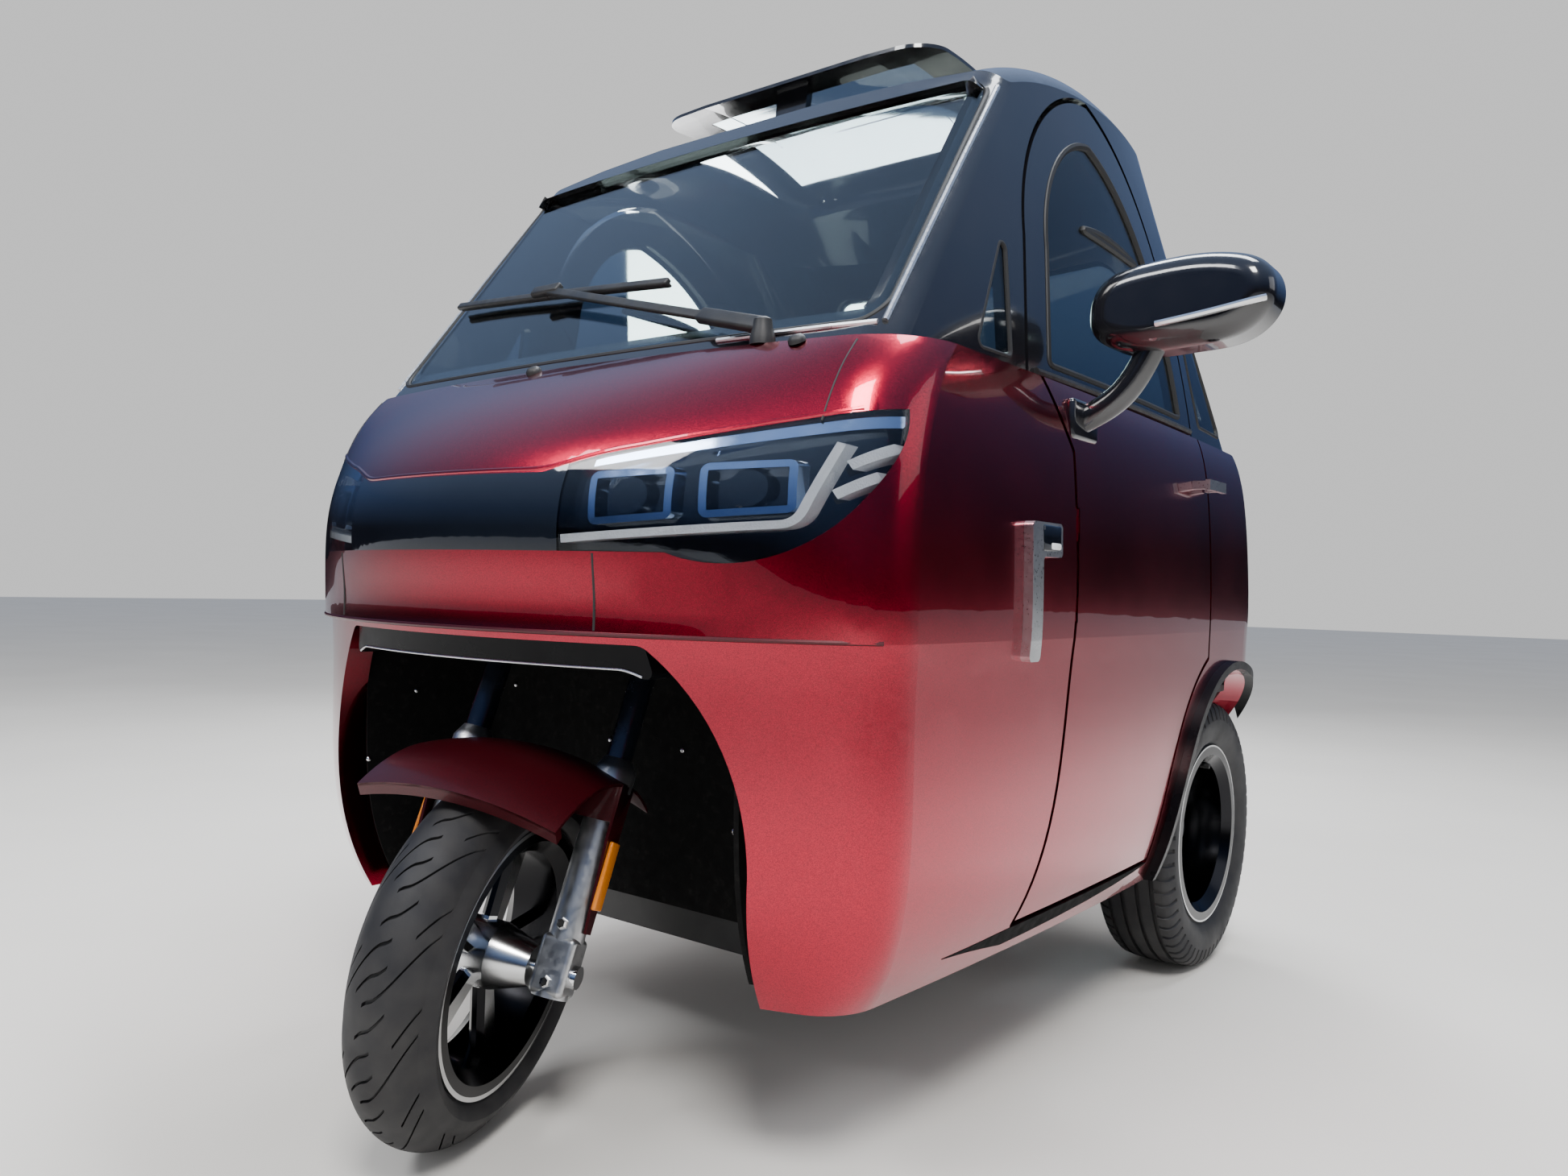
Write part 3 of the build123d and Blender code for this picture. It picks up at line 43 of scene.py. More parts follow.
# The camera, from the photograph's viewing angle
CAMERA_AT = Vector((1.188, -1.640, 0.703))
CAMERA_YAW = radians(37.70)
CAMERA_ROLL = radians(1.53)
PHOTO_WIDTH = 1946
FOCAL_PIXELS = 1415
SENSOR = 36.0


# Finishes
NOISE_LOW = 0.3
NOISE_HIGH = 0.7


class Finish:
    """A principled material whose patterns read Object coordinates."""

    def __init__(self, name, colour, roughness, metallic=0.0, **sockets):
        self.material = bpy.data.materials.new(name)
        self.material.use_nodes = True
        self.tree = self.material.node_tree
        self.shader = self.tree.nodes["Principled BSDF"]
        self.coords = self.tree.nodes.new("ShaderNodeTexCoord")
        self.height = None
        self.set("Base Color", (*colour, 1.0))
        self.set("Roughness", roughness)
        self.set("Metallic", metallic)
        for socket, value in sockets.items():
            self.set(socket.replace("_", " "), value)
        self.material.diffuse_color = (*colour, 1.0)

    def set(self, socket, value):
        self.shader.inputs[socket].default_value = value

    def noise(self, scale, detail=3.0, stretch=(1, 1, 1)):
        """Cloudy noise, drawn out along the axes where stretch is small."""
        mapping = self.tree.nodes.new("ShaderNodeMapping")
        mapping.inputs["Scale"].default_value = stretch
        texture = self.tree.nodes.new("ShaderNodeTexNoise")
        texture.inputs["Scale"].default_value = scale
        texture.inputs["Detail"].default_value = detail
        self.tree.links.new(self.coords.outputs["Object"], mapping.inputs["Vector"])
        self.tree.links.new(mapping.outputs["Vector"], texture.inputs["Vector"])
        return texture.outputs["Fac"]

    def cells(self, scale, feature="F1", output="Distance"):
        texture = self.tree.nodes.new("ShaderNodeTexVoronoi")
        texture.feature = feature
        texture.inputs["Scale"].default_value = scale
        self.tree.links.new(self.coords.outputs["Object"], texture.inputs["Vector"])
        return texture.outputs[output]

    def bands(self, scale, axis):
        texture = self.tree.nodes.new("ShaderNodeTexWave")
        texture.bands_direction = axis
        texture.wave_profile = "SIN"
        texture.inputs["Scale"].default_value = scale
        self.tree.links.new(self.coords.outputs["Object"], texture.inputs["Vector"])
        return texture.outputs["Fac"]

    def vector(self, operation, first, second):
        """A vector operation whose second input is fixed."""
        node = self.tree.nodes.new("ShaderNodeVectorMath")
        node.operation = operation
        self.tree.links.new(first, node.inputs[0])
        node.inputs[1].default_value = second
        return node

    def math(self, operation, first, second=None):
        node = self.tree.nodes.new("ShaderNodeMath")
        node.operation = operation
        self.tree.links.new(first, node.inputs[0])
        if isinstance(second, float):
            node.inputs[1].default_value = second
        elif second:
            self.tree.links.new(second, node.inputs[1])
        return node.outputs["Value"]

    def from_axle(self, hub, axle):
        """Distance of a point from a wheel's axle line."""
        arm = self.vector("SUBTRACT", self.coords.outputs["Object"], hub).outputs["Vector"]
        across = self.vector("CROSS_PRODUCT", arm, axle).outputs["Vector"]
        return self.vector("LENGTH", across, (0, 0, 0)).outputs["Value"]

    def facing(self, axle):
        """1 where the surface looks along the axle, 0 where it looks square to it."""
        turn = self.vector("DOT_PRODUCT", self.coords.outputs["Normal"], axle).outputs["Value"]
        return self.math("ABSOLUTE", turn)

    def shade(self, pattern, dark, light, low=NOISE_LOW, high=NOISE_HIGH):
        """Base colour from dark to light as the pattern goes from low to high."""
        ramp = self.tree.nodes.new("ShaderNodeValToRGB")
        ramp.color_ramp.elements[0].position = low
        ramp.color_ramp.elements[1].position = high
        ramp.color_ramp.elements[0].color = (*dark, 1.0)
        ramp.color_ramp.elements[1].color = (*light, 1.0)
        self.tree.links.new(pattern, ramp.inputs["Fac"])
        self.tree.links.new(ramp.outputs["Color"], self.shader.inputs["Base Color"])
        return self

    def wear(self, pattern, smooth, rough):
        """Roughness from smooth to rough over the pattern."""
        spread = self.tree.nodes.new("ShaderNodeMapRange")
        spread.inputs["From Min"].default_value = NOISE_LOW
        spread.inputs["From Max"].default_value = NOISE_HIGH
        spread.inputs["To Min"].default_value = smooth
        spread.inputs["To Max"].default_value = rough
        self.tree.links.new(pattern, spread.inputs["Value"])
        self.tree.links.new(spread.outputs["Result"], self.shader.inputs["Roughness"])
        return self

    def relief(self, pattern, distance, strength=1.0):
        """A bump of that many metres, on top of any relief given before."""
        bump = self.tree.nodes.new("ShaderNodeBump")
        bump.inputs["Distance"].default_value = distance
        bump.inputs["Strength"].default_value = strength
        self.tree.links.new(pattern, bump.inputs["Height"])
        if self.height:
            self.tree.links.new(self.height, bump.inputs["Normal"])
        self.height = bump.outputs["Normal"]
        self.tree.links.new(self.height, self.shader.inputs["Normal"])
        return self


FLAKES = 1500.0


def candy_red_paint():
    paint = Finish(
        "candy_red_paint", (0.36, 0.002, 0.022), 0.23, 1.0,
        Coat_Weight=0.85, Coat_Roughness=0.015, Coat_IOR=1.5,
    )
    paint.shade(paint.cells(FLAKES, output="Color"), (0.22, 0.001, 0.014), (0.50, 0.003, 0.032), 0.1, 0.9)
    paint.wear(paint.noise(6.0), 0.21, 0.26)
    return paint.relief(paint.noise(900.0, 1.0), 0.00002, 0.25)


# Painted shade: the body's candy red darkened several times over, for the mudguard and the crease bead that
# sit in shade.
def red_paint_in_painted_shade():
    paint = Finish(
        "red_paint_in_painted_shade", (0.05, 0.001, 0.004), 0.38, 0.5, Coat_Weight=0.2, Coat_Roughness=0.05
    )
    flakes = paint.cells(FLAKES, output="Color")
    paint.shade(flakes, (0.034, 0.0006, 0.003), (0.075, 0.0012, 0.006), 0.1, 0.9)
    return paint.wear(paint.noise(6.0), 0.34, 0.42)


def piano_black_paint():
    paint = Finish(
        "piano_black_paint", (0.006, 0.006, 0.008), 0.16, 0.0, Coat_Weight=1.0, Coat_Roughness=0.02
    )
    paint.shade(paint.noise(4.0), (0.004, 0.004, 0.006), (0.010, 0.010, 0.012))
    return paint.wear(paint.noise(38.0), 0.12, 0.2)


def smoked_band():
    band = Finish("smoked_band", (0.004, 0.006, 0.010), 0.06, 0.0, Coat_Weight=1.0, Coat_Roughness=0.01)
    return band.shade(band.noise(3.0), (0.003, 0.004, 0.007), (0.007, 0.010, 0.016))


def moulded_black(name, grain, tone, roughness):
    plastic = Finish(name, (tone, tone, tone), roughness)
    plastic.shade(plastic.noise(22.0), (tone * 0.7,) * 3, (tone * 1.4,) * 3)
    plastic.wear(plastic.noise(60.0), roughness - 0.08, roughness + 0.1)
    return plastic.relief(plastic.cells(grain), 0.0003, 0.5)


def lip_black():
    lip = Finish("lip_black", (0.004, 0.004, 0.005), 0.3, 0.0, Specular_IOR_Level=0.12)
    return lip.wear(lip.noise(30.0), 0.24, 0.36)


def liner_black():
    felt = moulded_black("wheel_liner_black", 700.0, 0.004, 0.8)
    felt.set("Specular IOR Level", 0.15)
    return felt.shade(felt.noise(90.0, 6.0), (0.003, 0.003, 0.003), (0.016, 0.015, 0.014), 0.55, 0.9)


def tyre_rubber():
    rubber = Finish("tyre_rubber", (0.010, 0.010, 0.012), 0.62)
    rubber.shade(rubber.noise(30.0, 5.0), (0.007, 0.007, 0.009), (0.020, 0.019, 0.019))
    rubber.wear(rubber.noise(14.0), 0.52, 0.74)
    return rubber.relief(rubber.noise(700.0, 2.0), 0.0002, 0.5)


def alloy_wheel(name, hub, axle, hub_r, lip_r, bare_face):
    """Machined silver on the hub, the lip and the spokes' outward faces, and dark paint elsewhere."""
    wheel = Finish(name, (0.5, 0.5, 0.5), 0.22, 1.0)
    radius = wheel.from_axle(hub, axle)
    spokes = wheel.math("LESS_THAN", radius, SPOKE_END_R)
    faces = wheel.math("MULTIPLY", wheel.math("GREATER_THAN", wheel.facing(axle), bare_face), spokes)
    lip = wheel.math("GREATER_THAN", radius, lip_r)
    centre = wheel.math("LESS_THAN", radius, hub_r)
    bright = wheel.math("MAXIMUM", wheel.math("MAXIMUM", faces, lip), centre)
    wheel.shade(bright, (0.022, 0.022, 0.024), (0.66, 0.67, 0.68), 0.2, 0.8)
    return wheel.wear(wheel.noise(12.0), 0.16, 0.24)


def soft_rubber():
    rubber = Finish("seal_rubber", (0.012, 0.012, 0.012), 0.55)
    return rubber.relief(rubber.noise(500.0), 0.0002, 0.5)


def bright_chrome(name, tint=(0.78, 0.79, 0.80)):
    chrome = Finish(name, tint, 0.08, 1.0)
    return chrome.wear(chrome.noise(35.0), 0.05, 0.13)


def satin_silver():
    silver = Finish("satin_silver", (0.62, 0.63, 0.64), 0.32, 1.0)
    silver.shade(silver.noise(18.0), (0.56, 0.57, 0.58), (0.68, 0.69, 0.70))
    return silver.wear(silver.noise(260.0), 0.26, 0.38)


def cast_alloy():
    alloy = Finish("cast_alloy", (0.50, 0.51, 0.52), 0.38, 1.0)
    alloy.shade(alloy.noise(26.0), (0.42, 0.43, 0.44), (0.58, 0.59, 0.60))
    alloy.wear(alloy.noise(120.0), 0.3, 0.46)
    return alloy.relief(alloy.noise(420.0), 0.0002, 0.4)


def dark_steel():
    steel = Finish("dark_stanchion_steel", (0.035, 0.045, 0.07), 0.2, 0.85)
    return steel.wear(steel.noise(60.0), 0.14, 0.3)


def chassis_black():
    coat = Finish("chassis_black_coat", (0.014, 0.014, 0.015), 0.42)
    coat.shade(coat.noise(12.0), (0.010, 0.010, 0.011), (0.024, 0.024, 0.024))
    return coat.relief(coat.noise(350.0), 0.0003, 0.4)


def clear_glass(name, tint, roughness=0.01):
    glass = Finish(name, tint, roughness, 0.0, Transmission_Weight=1.0, IOR=1.45)
    return glass.wear(glass.noise(5.0), roughness, roughness + 0.015)


def glowing_lens(name, colour, roughness):
    lens = Finish(name, colour, roughness, 0.0, Coat_Weight=0.35, Coat_Roughness=0.03)
    return lens.relief(lens.cells(420.0), 0.0006, 0.6)


def seat_vinyl():
    vinyl = Finish("seat_vinyl", (0.020, 0.020, 0.022), 0.5)
    vinyl.shade(vinyl.noise(16.0), (0.014, 0.014, 0.016), (0.030, 0.030, 0.032))
    vinyl.wear(vinyl.noise(40.0), 0.42, 0.6)
    return vinyl.relief(vinyl.cells(420.0, "DISTANCE_TO_EDGE"), 0.0006, 0.6)


def floor_mat():
    mat = Finish("floor_mat_rubber", (0.02, 0.02, 0.02), 0.7)
    mat.shade(mat.noise(30.0, 5.0), (0.014, 0.014, 0.014), (0.034, 0.033, 0.031))
    return mat.relief(mat.bands(34.0, "X"), 0.002, 0.6)


RED = candy_red_paint().material
RED_IN_PAINTED_SHADE = red_paint_in_painted_shade().material
LIP_BLACK = lip_black().material
PIANO = piano_black_paint().material
SMOKED = smoked_band().material
TRIM_BLACK = moulded_black("moulded_trim_black", 900.0, 0.016, 0.46).material
INNER_BLACK = moulded_black("cabin_inner_black", 520.0, 0.022, 0.6).material
LINER = liner_black().material
SPOKE_END_R = 0.147
FRONT_HUB_AT = (0.0139, -0.725313, 0.234198)
FRONT_AXLE_DIR = (0.917755, 0.370769, -0.142325)
FRONT_ALLOY = alloy_wheel("front_alloy_wheel", FRONT_HUB_AT, FRONT_AXLE_DIR, 0.046, 0.1625, 0.97).material
REAR_AXLE_AT = (0.0, 0.602, 0.254)
REAR_AXLE_DIR = (1.0, 0.0, 0.0)
REAR_ALLOY = alloy_wheel("rear_alloy_wheel", REAR_AXLE_AT, REAR_AXLE_DIR, 0.062, 0.1650, 0.86).material
MIRROR_GLASS = bright_chrome("mirror_glass").material
TYRE = tyre_rubber().material
SEAL = soft_rubber().material
CHROME = bright_chrome("bright_chrome").material
LAMP_CHROME = bright_chrome("lamp_chrome", (0.58, 0.72, 0.96)).material
SILVER = satin_silver().material
ALLOY = cast_alloy().material
STANCHION = dark_steel().material
CHASSIS = chassis_black().material
SCREEN_GLASS = clear_glass("screen_glass", (0.62, 0.70, 0.72)).material
SIDE_GLASS = clear_glass("side_glass", (0.52, 0.60, 0.58)).material
ROOF_GLASS = clear_glass("roof_glass", (0.42, 0.48, 0.50), 0.02).material
LAMP_COVER = clear_glass("lamp_cover", (0.86, 0.88, 0.90)).material
WHITE_LENS = glowing_lens("white_light_strip", (0.82, 0.83, 0.84), 0.25).material
RED_LENS = glowing_lens("red_tail_lens", (0.20, 0.002, 0.004), 0.22).material
AMBER_LENS = glowing_lens("amber_reflector", (0.75, 0.22, 0.01), 0.2).material
VINYL = seat_vinyl().material
MAT = floor_mat().material

NODE_FINISHES = {
    RED: "hood nose_panel front_fenders sills rear_quarters tail_panel tailgate "
    "door_left_panel door_right_panel",
    # The mudguard takes the red paint darkened as painted shade.
    RED_IN_PAINTED_SHADE: "mudguard",
    LIP_BLACK: "mouth_lip arch_trims",
    PIANO: "roof_panel screen_pillars rear_frame sunroof_frame door_left_frame door_right_frame "
    "door_left_mirror door_right_mirror",
    SMOKED: "lamp_band headlamp_units",
    LAMP_COVER: "headlamp_lenses",
    LAMP_CHROME: "lamp_trims",
    CHROME: "front_axle",
    WHITE_LENS: "light_strips",
    SILVER: "side_markers door_left_handle door_right_handle",
    FRONT_ALLOY: "front_rim",
    REAR_ALLOY: "rear_rim_left rear_rim_right",
    RED_LENS: "tail_lamps",
    SCREEN_GLASS: "windscreen",
    SIDE_GLASS: "rear_glass quarter_glass door_left_glass door_right_glass",
    ROOF_GLASS: "sunroof_glass",
    MAT: "floor_pan",
    INNER_BLACK: "rear_deck dash_shelf battery_box",
    LINER: "wheel_liner",
    CHASSIS: "chassis_frame rear_axle leaf_springs steering_stem handlebar",
    VINYL: "seat_cushion seat_back",
    TRIM_BLACK: "wiper",
    ALLOY: "fork_legs",
    STANCHION: "fork_stanchions",
    TYRE: "front_tyre rear_tyre_left rear_tyre_right",
}
for finish, names in NODE_FINISHES.items():
    for name in names.split():
        nodes[name].data.materials.clear()
        nodes[name].data.materials.append(finish)


# Making pieces


MERGE = 0.00002
SHARP_EDGE = 38


def finished(name, bm, finish, body, sharp=SHARP_EDGE):
    """Turns a bmesh into a named piece that rides on a body; edges over sharp degrees stay crisp."""
    bmesh.ops.remove_doubles(bm, verts=bm.verts, dist=MERGE)
    bmesh.ops.recalc_face_normals(bm, faces=bm.faces)
    mesh = bpy.data.meshes.new(name)
    bm.to_mesh(mesh)
    bm.free()
    mesh.shade_smooth()
    mesh.set_sharp_from_angle(angle=radians(sharp))
    mesh.materials.append(finish)
    piece = bpy.data.objects.new(name, mesh)
    bpy.context.collection.objects.link(piece)
    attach(piece, body)
    return piece


def rounded_block(size, bevel, segments=3):
    bm = bmesh.new()
    bmesh.ops.create_cube(bm, size=1.0)
    bmesh.ops.scale(bm, vec=size, verts=bm.verts)
    bmesh.ops.bevel(
        bm, geom=bm.edges[:], offset=bevel, segments=segments, profile=0.5, affect="EDGES", material=-1
    )
    return bm


def turned(profile, steps=48):
    """A profile of (along, radius) points, turned about X."""
    bm = bmesh.new()
    verts = [bm.verts.new((along, 0, radius)) for along, radius in profile]
    edges = [bm.edges.new(pair) for pair in zip(verts, verts[1:])]
    bmesh.ops.spin(
        bm, geom=verts + edges, cent=(0, 0, 0), axis=(1, 0, 0), angle=2 * pi, steps=steps, use_merge=True
    )
    return bm


def moved(bm, matrix):
    bmesh.ops.transform(bm, matrix=matrix, verts=bm.verts)
    return bm


def joined(*shapes):
    """Several bmeshes as one."""
    whole = bmesh.new()
    for bm in shapes:
        carrier = bpy.data.meshes.new("carrier")
        bm.to_mesh(carrier)
        bm.free()
        whole.from_mesh(carrier)
        bpy.data.meshes.remove(carrier)
    return whole


def mirrored(bm):
    """The same shape on the other side of the vehicle."""
    other = bm.copy()
    bmesh.ops.scale(other, vec=(-1, 1, 1), verts=other.verts)
    bmesh.ops.reverse_faces(other, faces=other.faces)
    return other


def at(x, y, z, turn=None):
    place = Matrix.Translation((x, y, z))
    return place @ turn.to_4x4() if turn else place


def x_along(way):
    """A turn that brings X onto a direction."""
    return Vector(way).to_track_quat("X", "Z").to_matrix().to_4x4()


def skin(*names):
    """A tree for finding points on the surface of CAD nodes."""
    bm = bmesh.new()
    for name in names:
        bm.from_mesh(nodes[name].data)
    tree = BVHTree.FromBMesh(bm)
    bm.free()
    return tree


def front_point(tree, x, z, proud=0.0):
    """The point of a skin that is seen from straight ahead at (x, z), stood off it by proud."""
    spot, normal, _, _ = tree.ray_cast(Vector((x, -2, z)), Vector((0, 1, 0)))
    return spot + normal * proud


def side_point(tree, side, y, z, proud=0.0):
    spot, normal, _, _ = tree.ray_cast(Vector((2 * side, y, z)), Vector((-side, 0, 0)))
    return spot + normal * proud


def bead(points, radius, closed=False):
    """A smooth round strip along a few points, as a bmesh."""
    curve = bpy.data.curves.new("bead", "CURVE")
    curve.dimensions = "3D"
    curve.bevel_depth = radius
    curve.bevel_resolution = 2
    curve.use_fill_caps = True
    curve.resolution_u = 6
    line = curve.splines.new("NURBS")
    line.points.add(len(points) - 1)
    for knot, spot in zip(line.points, points):
        knot.co = (*spot, 1.0)
    line.order_u = 3
    line.use_endpoint_u = not closed
    line.use_cyclic_u = closed
    holder = bpy.data.objects.new("bead", curve)
    mesh = bpy.data.meshes.new_from_object(holder)
    bm = bmesh.new()
    bm.from_mesh(mesh)
    bpy.data.objects.remove(holder)
    bpy.data.curves.remove(curve)
    bpy.data.meshes.remove(mesh)
    return bm


# Wheels and fork

RAKE = radians(21)
REST_STEER = radians(23.4)
STEER_POINT = (0, -0.695325, 0.222687)
FORK_OFFSET = 0.035
LEG_SPREAD = 0.105
FORK = (
    Matrix.Translation(STEER_POINT) @ Matrix.Rotation(-RAKE, 4, "X") @ Matrix.Rotation(REST_STEER, 4, "Z")
)
FRONT_HUB = FORK @ Matrix.Translation((0, -FORK_OFFSET, 0))
REAR_HUB = Vector((0.440, 0.602, 0.254))

FRONT_CROWN = 0.2359
FRONT_CROWN_BEND = 0.0523
FRONT_SHOULDER = radians(69.5)
FRONT_TREAD_HALF = 0.049
FRONT_GROOVE_R = 0.202
FRONT_SIDEWALL = [(0.0555, 0.196), (0.0588, 0.187), (0.0555, 0.177), (0.0432, 0.1685), (0.0430, 0.157)]
TREAD_PITCHES = 12
TREAD_COLUMNS = 26
TREAD_RINGS = 16
TREAD_DEPTH = 0.004
TREAD_SWEEP = radians(22)
TREAD_GROOVES = {
    0: (-0.98, 0.16), 13: (-0.16, 0.98),
    7: (-0.40, 0.24), 20: (-0.24, 0.40),
    6: (0.60, 0.96), 19: (-0.96, -0.60),
}


def tread_column(spot, columns):
    """Which column of faces round a tyre a point is in."""
    turn = Vector((spot.y, spot.z)).angle_signed(Vector((0, 1))) % (2 * pi)
    return int(turn / (2 * pi) * columns)


def from_axis(spot):
    return Vector((spot.y, spot.z)).length


def close_bore(bm):
    """Joins a tyre's two open beads with a plain bore."""
    bmesh.ops.remove_doubles(bm, verts=bm.verts, dist=MERGE)
    bmesh.ops.bridge_loops(bm, edges=[edge for edge in bm.edges if edge.is_boundary])


def in_front_groove(spot):
    """True where the front tread is cut, by place round the tyre and across it."""
    column = tread_column(spot, TREAD_PITCHES * TREAD_COLUMNS) % TREAD_COLUMNS
    low, high = TREAD_GROOVES.get(column, (1, 0))
    return low < spot.x / FRONT_TREAD_HALF < high and from_axis(spot) > FRONT_GROOVE_R


def front_tyre():
    """A rounded scooter tyre with long swept grooves to each shoulder and short ones over the middle."""
    bm = bmesh.new()
    crown = bm.verts.new((0, 0, FRONT_CROWN))
    bmesh.ops.spin(
        bm, geom=[crown], cent=(0, 0, FRONT_CROWN - FRONT_CROWN_BEND), axis=(0, 1, 0), angle=FRONT_SHOULDER,
        steps=TREAD_RINGS, use_merge=False,
    )
    last = max(bm.verts, key=lambda v: v.co.x)
    for along, radius in FRONT_SIDEWALL:
        wall = bm.verts.new((along, 0, radius))
        bm.edges.new((last, wall))
        last = wall
    bmesh.ops.mirror(bm, geom=bm.verts[:] + bm.edges[:], axis="X", merge_dist=0.0001)
    bmesh.ops.spin(
        bm, geom=bm.verts[:] + bm.edges[:], cent=(0, 0, 0), axis=(1, 0, 0), angle=2 * pi,
        steps=TREAD_PITCHES * TREAD_COLUMNS, use_merge=True,
    )
    bmesh.ops.recalc_face_normals(bm, faces=bm.faces)
    grooves = [face for face in bm.faces if in_front_groove(face.calc_center_median())]
    bmesh.ops.inset_region(bm, faces=grooves, thickness=0.0005, depth=-TREAD_DEPTH, use_even_offset=True)
    for vert in bm.verts:
        share = max(-1.0, min(vert.co.x / FRONT_TREAD_HALF, 1.0))
        vert.co = Matrix.Rotation(-TREAD_SWEEP * share * abs(share) ** 0.5, 3, "X") @ vert.co
    close_bore(bm)
    return moved(bm, FRONT_HUB)


finished_tyre = finished("front_tyre_tread", front_tyre(), TYRE, "front_wheel")
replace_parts(finished_tyre, "front_tyre")

REAR_SECTION = [
    (0, 0.25395), (0.0100, 0.25385), (0.0102, 0.2470), (0.0178, 0.2470), (0.0180, 0.2536),
    (0.0360, 0.2524), (0.0362, 0.2460), (0.0438, 0.2455), (0.0440, 0.2514), (0.0560, 0.2494),
    (0.0625, 0.2450), (0.0680, 0.2360), (0.0722, 0.2180), (0.0725, 0.2120), (0.0716, 0.1980),
    (0.0660, 0.1800), (0.0562, 0.1690), (0.0560, 0.1570),
]
REAR_COLUMNS = 180
REAR_CUT_EVERY = 3
REAR_CUT_FROM = 0.045
REAR_CUT_R = 0.225
REAR_CUT_DEPTH = 0.003
REAR_CUT_SLANT = 1.1


def rear_tyre():
    """A car-like tyre with four ribs' grooves round it and short cuts across its shoulders."""
    bm = turned([(-x, r) for x, r in reversed(REAR_SECTION[1:])] + REAR_SECTION, REAR_COLUMNS)
    bmesh.ops.remove_doubles(bm, verts=bm.verts, dist=MERGE)
    bmesh.ops.recalc_face_normals(bm, faces=bm.faces)
    cuts = []
    for face in bm.faces:
        spot = face.calc_center_median()
        radius = from_axis(spot)
        in_turn = tread_column(spot, REAR_COLUMNS) % REAR_CUT_EVERY == 0
        if in_turn and abs(spot.x) > REAR_CUT_FROM and radius > REAR_CUT_R:
            cuts.append(face)
    bmesh.ops.inset_region(bm, faces=cuts, thickness=0.0016, depth=-REAR_CUT_DEPTH, use_even_offset=True)
    for vert in bm.verts:
        vert.co = Matrix.Rotation(vert.co.x * REAR_CUT_SLANT, 3, "X") @ vert.co
    close_bore(bm)
    return moved(bm, Matrix.Translation(REAR_HUB))


left_rear_tyre = rear_tyre()
right_rear_tyre = finished("rear_tyre_tread_right", mirrored(left_rear_tyre), TYRE, "rear_wheel_right")
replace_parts(right_rear_tyre, "rear_tyre_right")
left_rear_tyre = finished("rear_tyre_tread_left", left_rear_tyre, TYRE, "rear_wheel_left")
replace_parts(left_rear_tyre, "rear_tyre_left")


def hub_bolts(count, circle, radius, height, along):
    """A ring of bolt heads on a wheel face."""
    ring = []
    profile = [(0, 0), (0, radius), (height * 0.7, radius), (height, radius * 0.7), (height, 0)]
    for i in range(count):
        head = turned(profile, 12)
        ring.append(moved(head, Matrix.Rotation(i * 2 * pi / count, 4, "X") @ at(along, 0, circle)))
    return joined(*ring)


def valve(along, radius):
    stem = turned([(0, 0), (0, 0.0042), (0.020, 0.0042), (0.021, 0.0052), (0.031, 0.0048), (0.033, 0)], 14)
    return moved(stem, at(along, 0, radius))


CAP_OUTSIDE = [(0, 0.060), (0.006, 0.058), (0.010, 0.046), (0.022, 0.042), (0.026, 0.034), (0.027, 0)]
CAP_INSIDE = [
    (0, 0.060), (0, 0.0588), (0.005, 0.0568), (0.009, 0.045), (0.0212, 0.041), (0.025, 0.0332), (0.0258, 0),
]
rear_cap = joined(turned(CAP_OUTSIDE, 40), turned(CAP_INSIDE, 40))
rear_caps = moved(rear_cap, Matrix.Translation(REAR_HUB + Vector((-0.0215, 0, 0))))
rear_bolts = moved(hub_bolts(5, 0.050, 0.0075, 0.012, -0.014), Matrix.Translation(REAR_HUB))
rear_valve = moved(valve(0.030, 0.128), Matrix.Translation(REAR_HUB))
for side, turn in (("right", mirrored), ("left", lambda bm: bm)):
    finished(f"rear_hub_cap_{side}", turn(rear_caps), SILVER, f"rear_wheel_{side}")
    finished(f"rear_wheel_bolts_{side}", turn(rear_bolts), CHROME, f"rear_wheel_{side}")
    finished(f"rear_valve_{side}", turn(rear_valve), TRIM_BLACK, f"rear_wheel_{side}")

# Fork: collars, clamp bolts, reflectors
COLLAR = [
    (0, 0.0175), (0, 0.0262), (0.006, 0.0275), (0.030, 0.0275), (0.036, 0.0240), (0.046, 0.0190),
    (0.046, 0.0175), (0, 0.0175),
]
CLAMP_BOLT = [(0, 0), (0, 0.0075), (0.006, 0.0075), (0.009, 0.0055), (0.009, 0)]
X_TO_UP = Matrix.Rotation(-pi / 2, 4, "Y")
X_TO_FRONT = Matrix.Rotation(-pi / 2, 4, "Z")
collars, clamp_bolts, fork_reflectors = [], [], []
for side in (-1, 1):
    x = side * LEG_SPREAD
    collars.append(moved(turned(COLLAR), FORK @ at(x, -FORK_OFFSET, 0.226) @ X_TO_UP))
    for height in (-0.012, 0.058):
        bolt_at = FORK @ at(x, -FORK_OFFSET - 0.0225, height) @ X_TO_FRONT
        clamp_bolts.append(moved(turned(CLAMP_BOLT, 6), bolt_at))
    slab = rounded_block((0.006, 0.026, 0.086), 0.0025)
    slab_at = FORK @ at(side * (LEG_SPREAD + 0.0300), -FORK_OFFSET - 0.006, 0.125)
    fork_reflectors.append(moved(slab, slab_at))
finished("fork_collars", joined(*collars), ALLOY, "fork")
finished("fork_clamp_bolts", joined(*clamp_bolts), CHROME, "fork")
finished("fork_reflectors", joined(*fork_reflectors), AMBER_LENS, "fork")


# Mudguard: the CAD visor with its front drawn back to a deep lip
GUARD_END = radians(50)
GUARD_BACK = radians(22)
LIP_TURN = radians(3)
GUARD_HALF = 0.131
GUARD_EDGE_R = 0.237
GUARD_CROWN_R = 0.262
GUARD_T = 0.004
LIP_DEEP = 0.014
GUARD_STEPS = 14


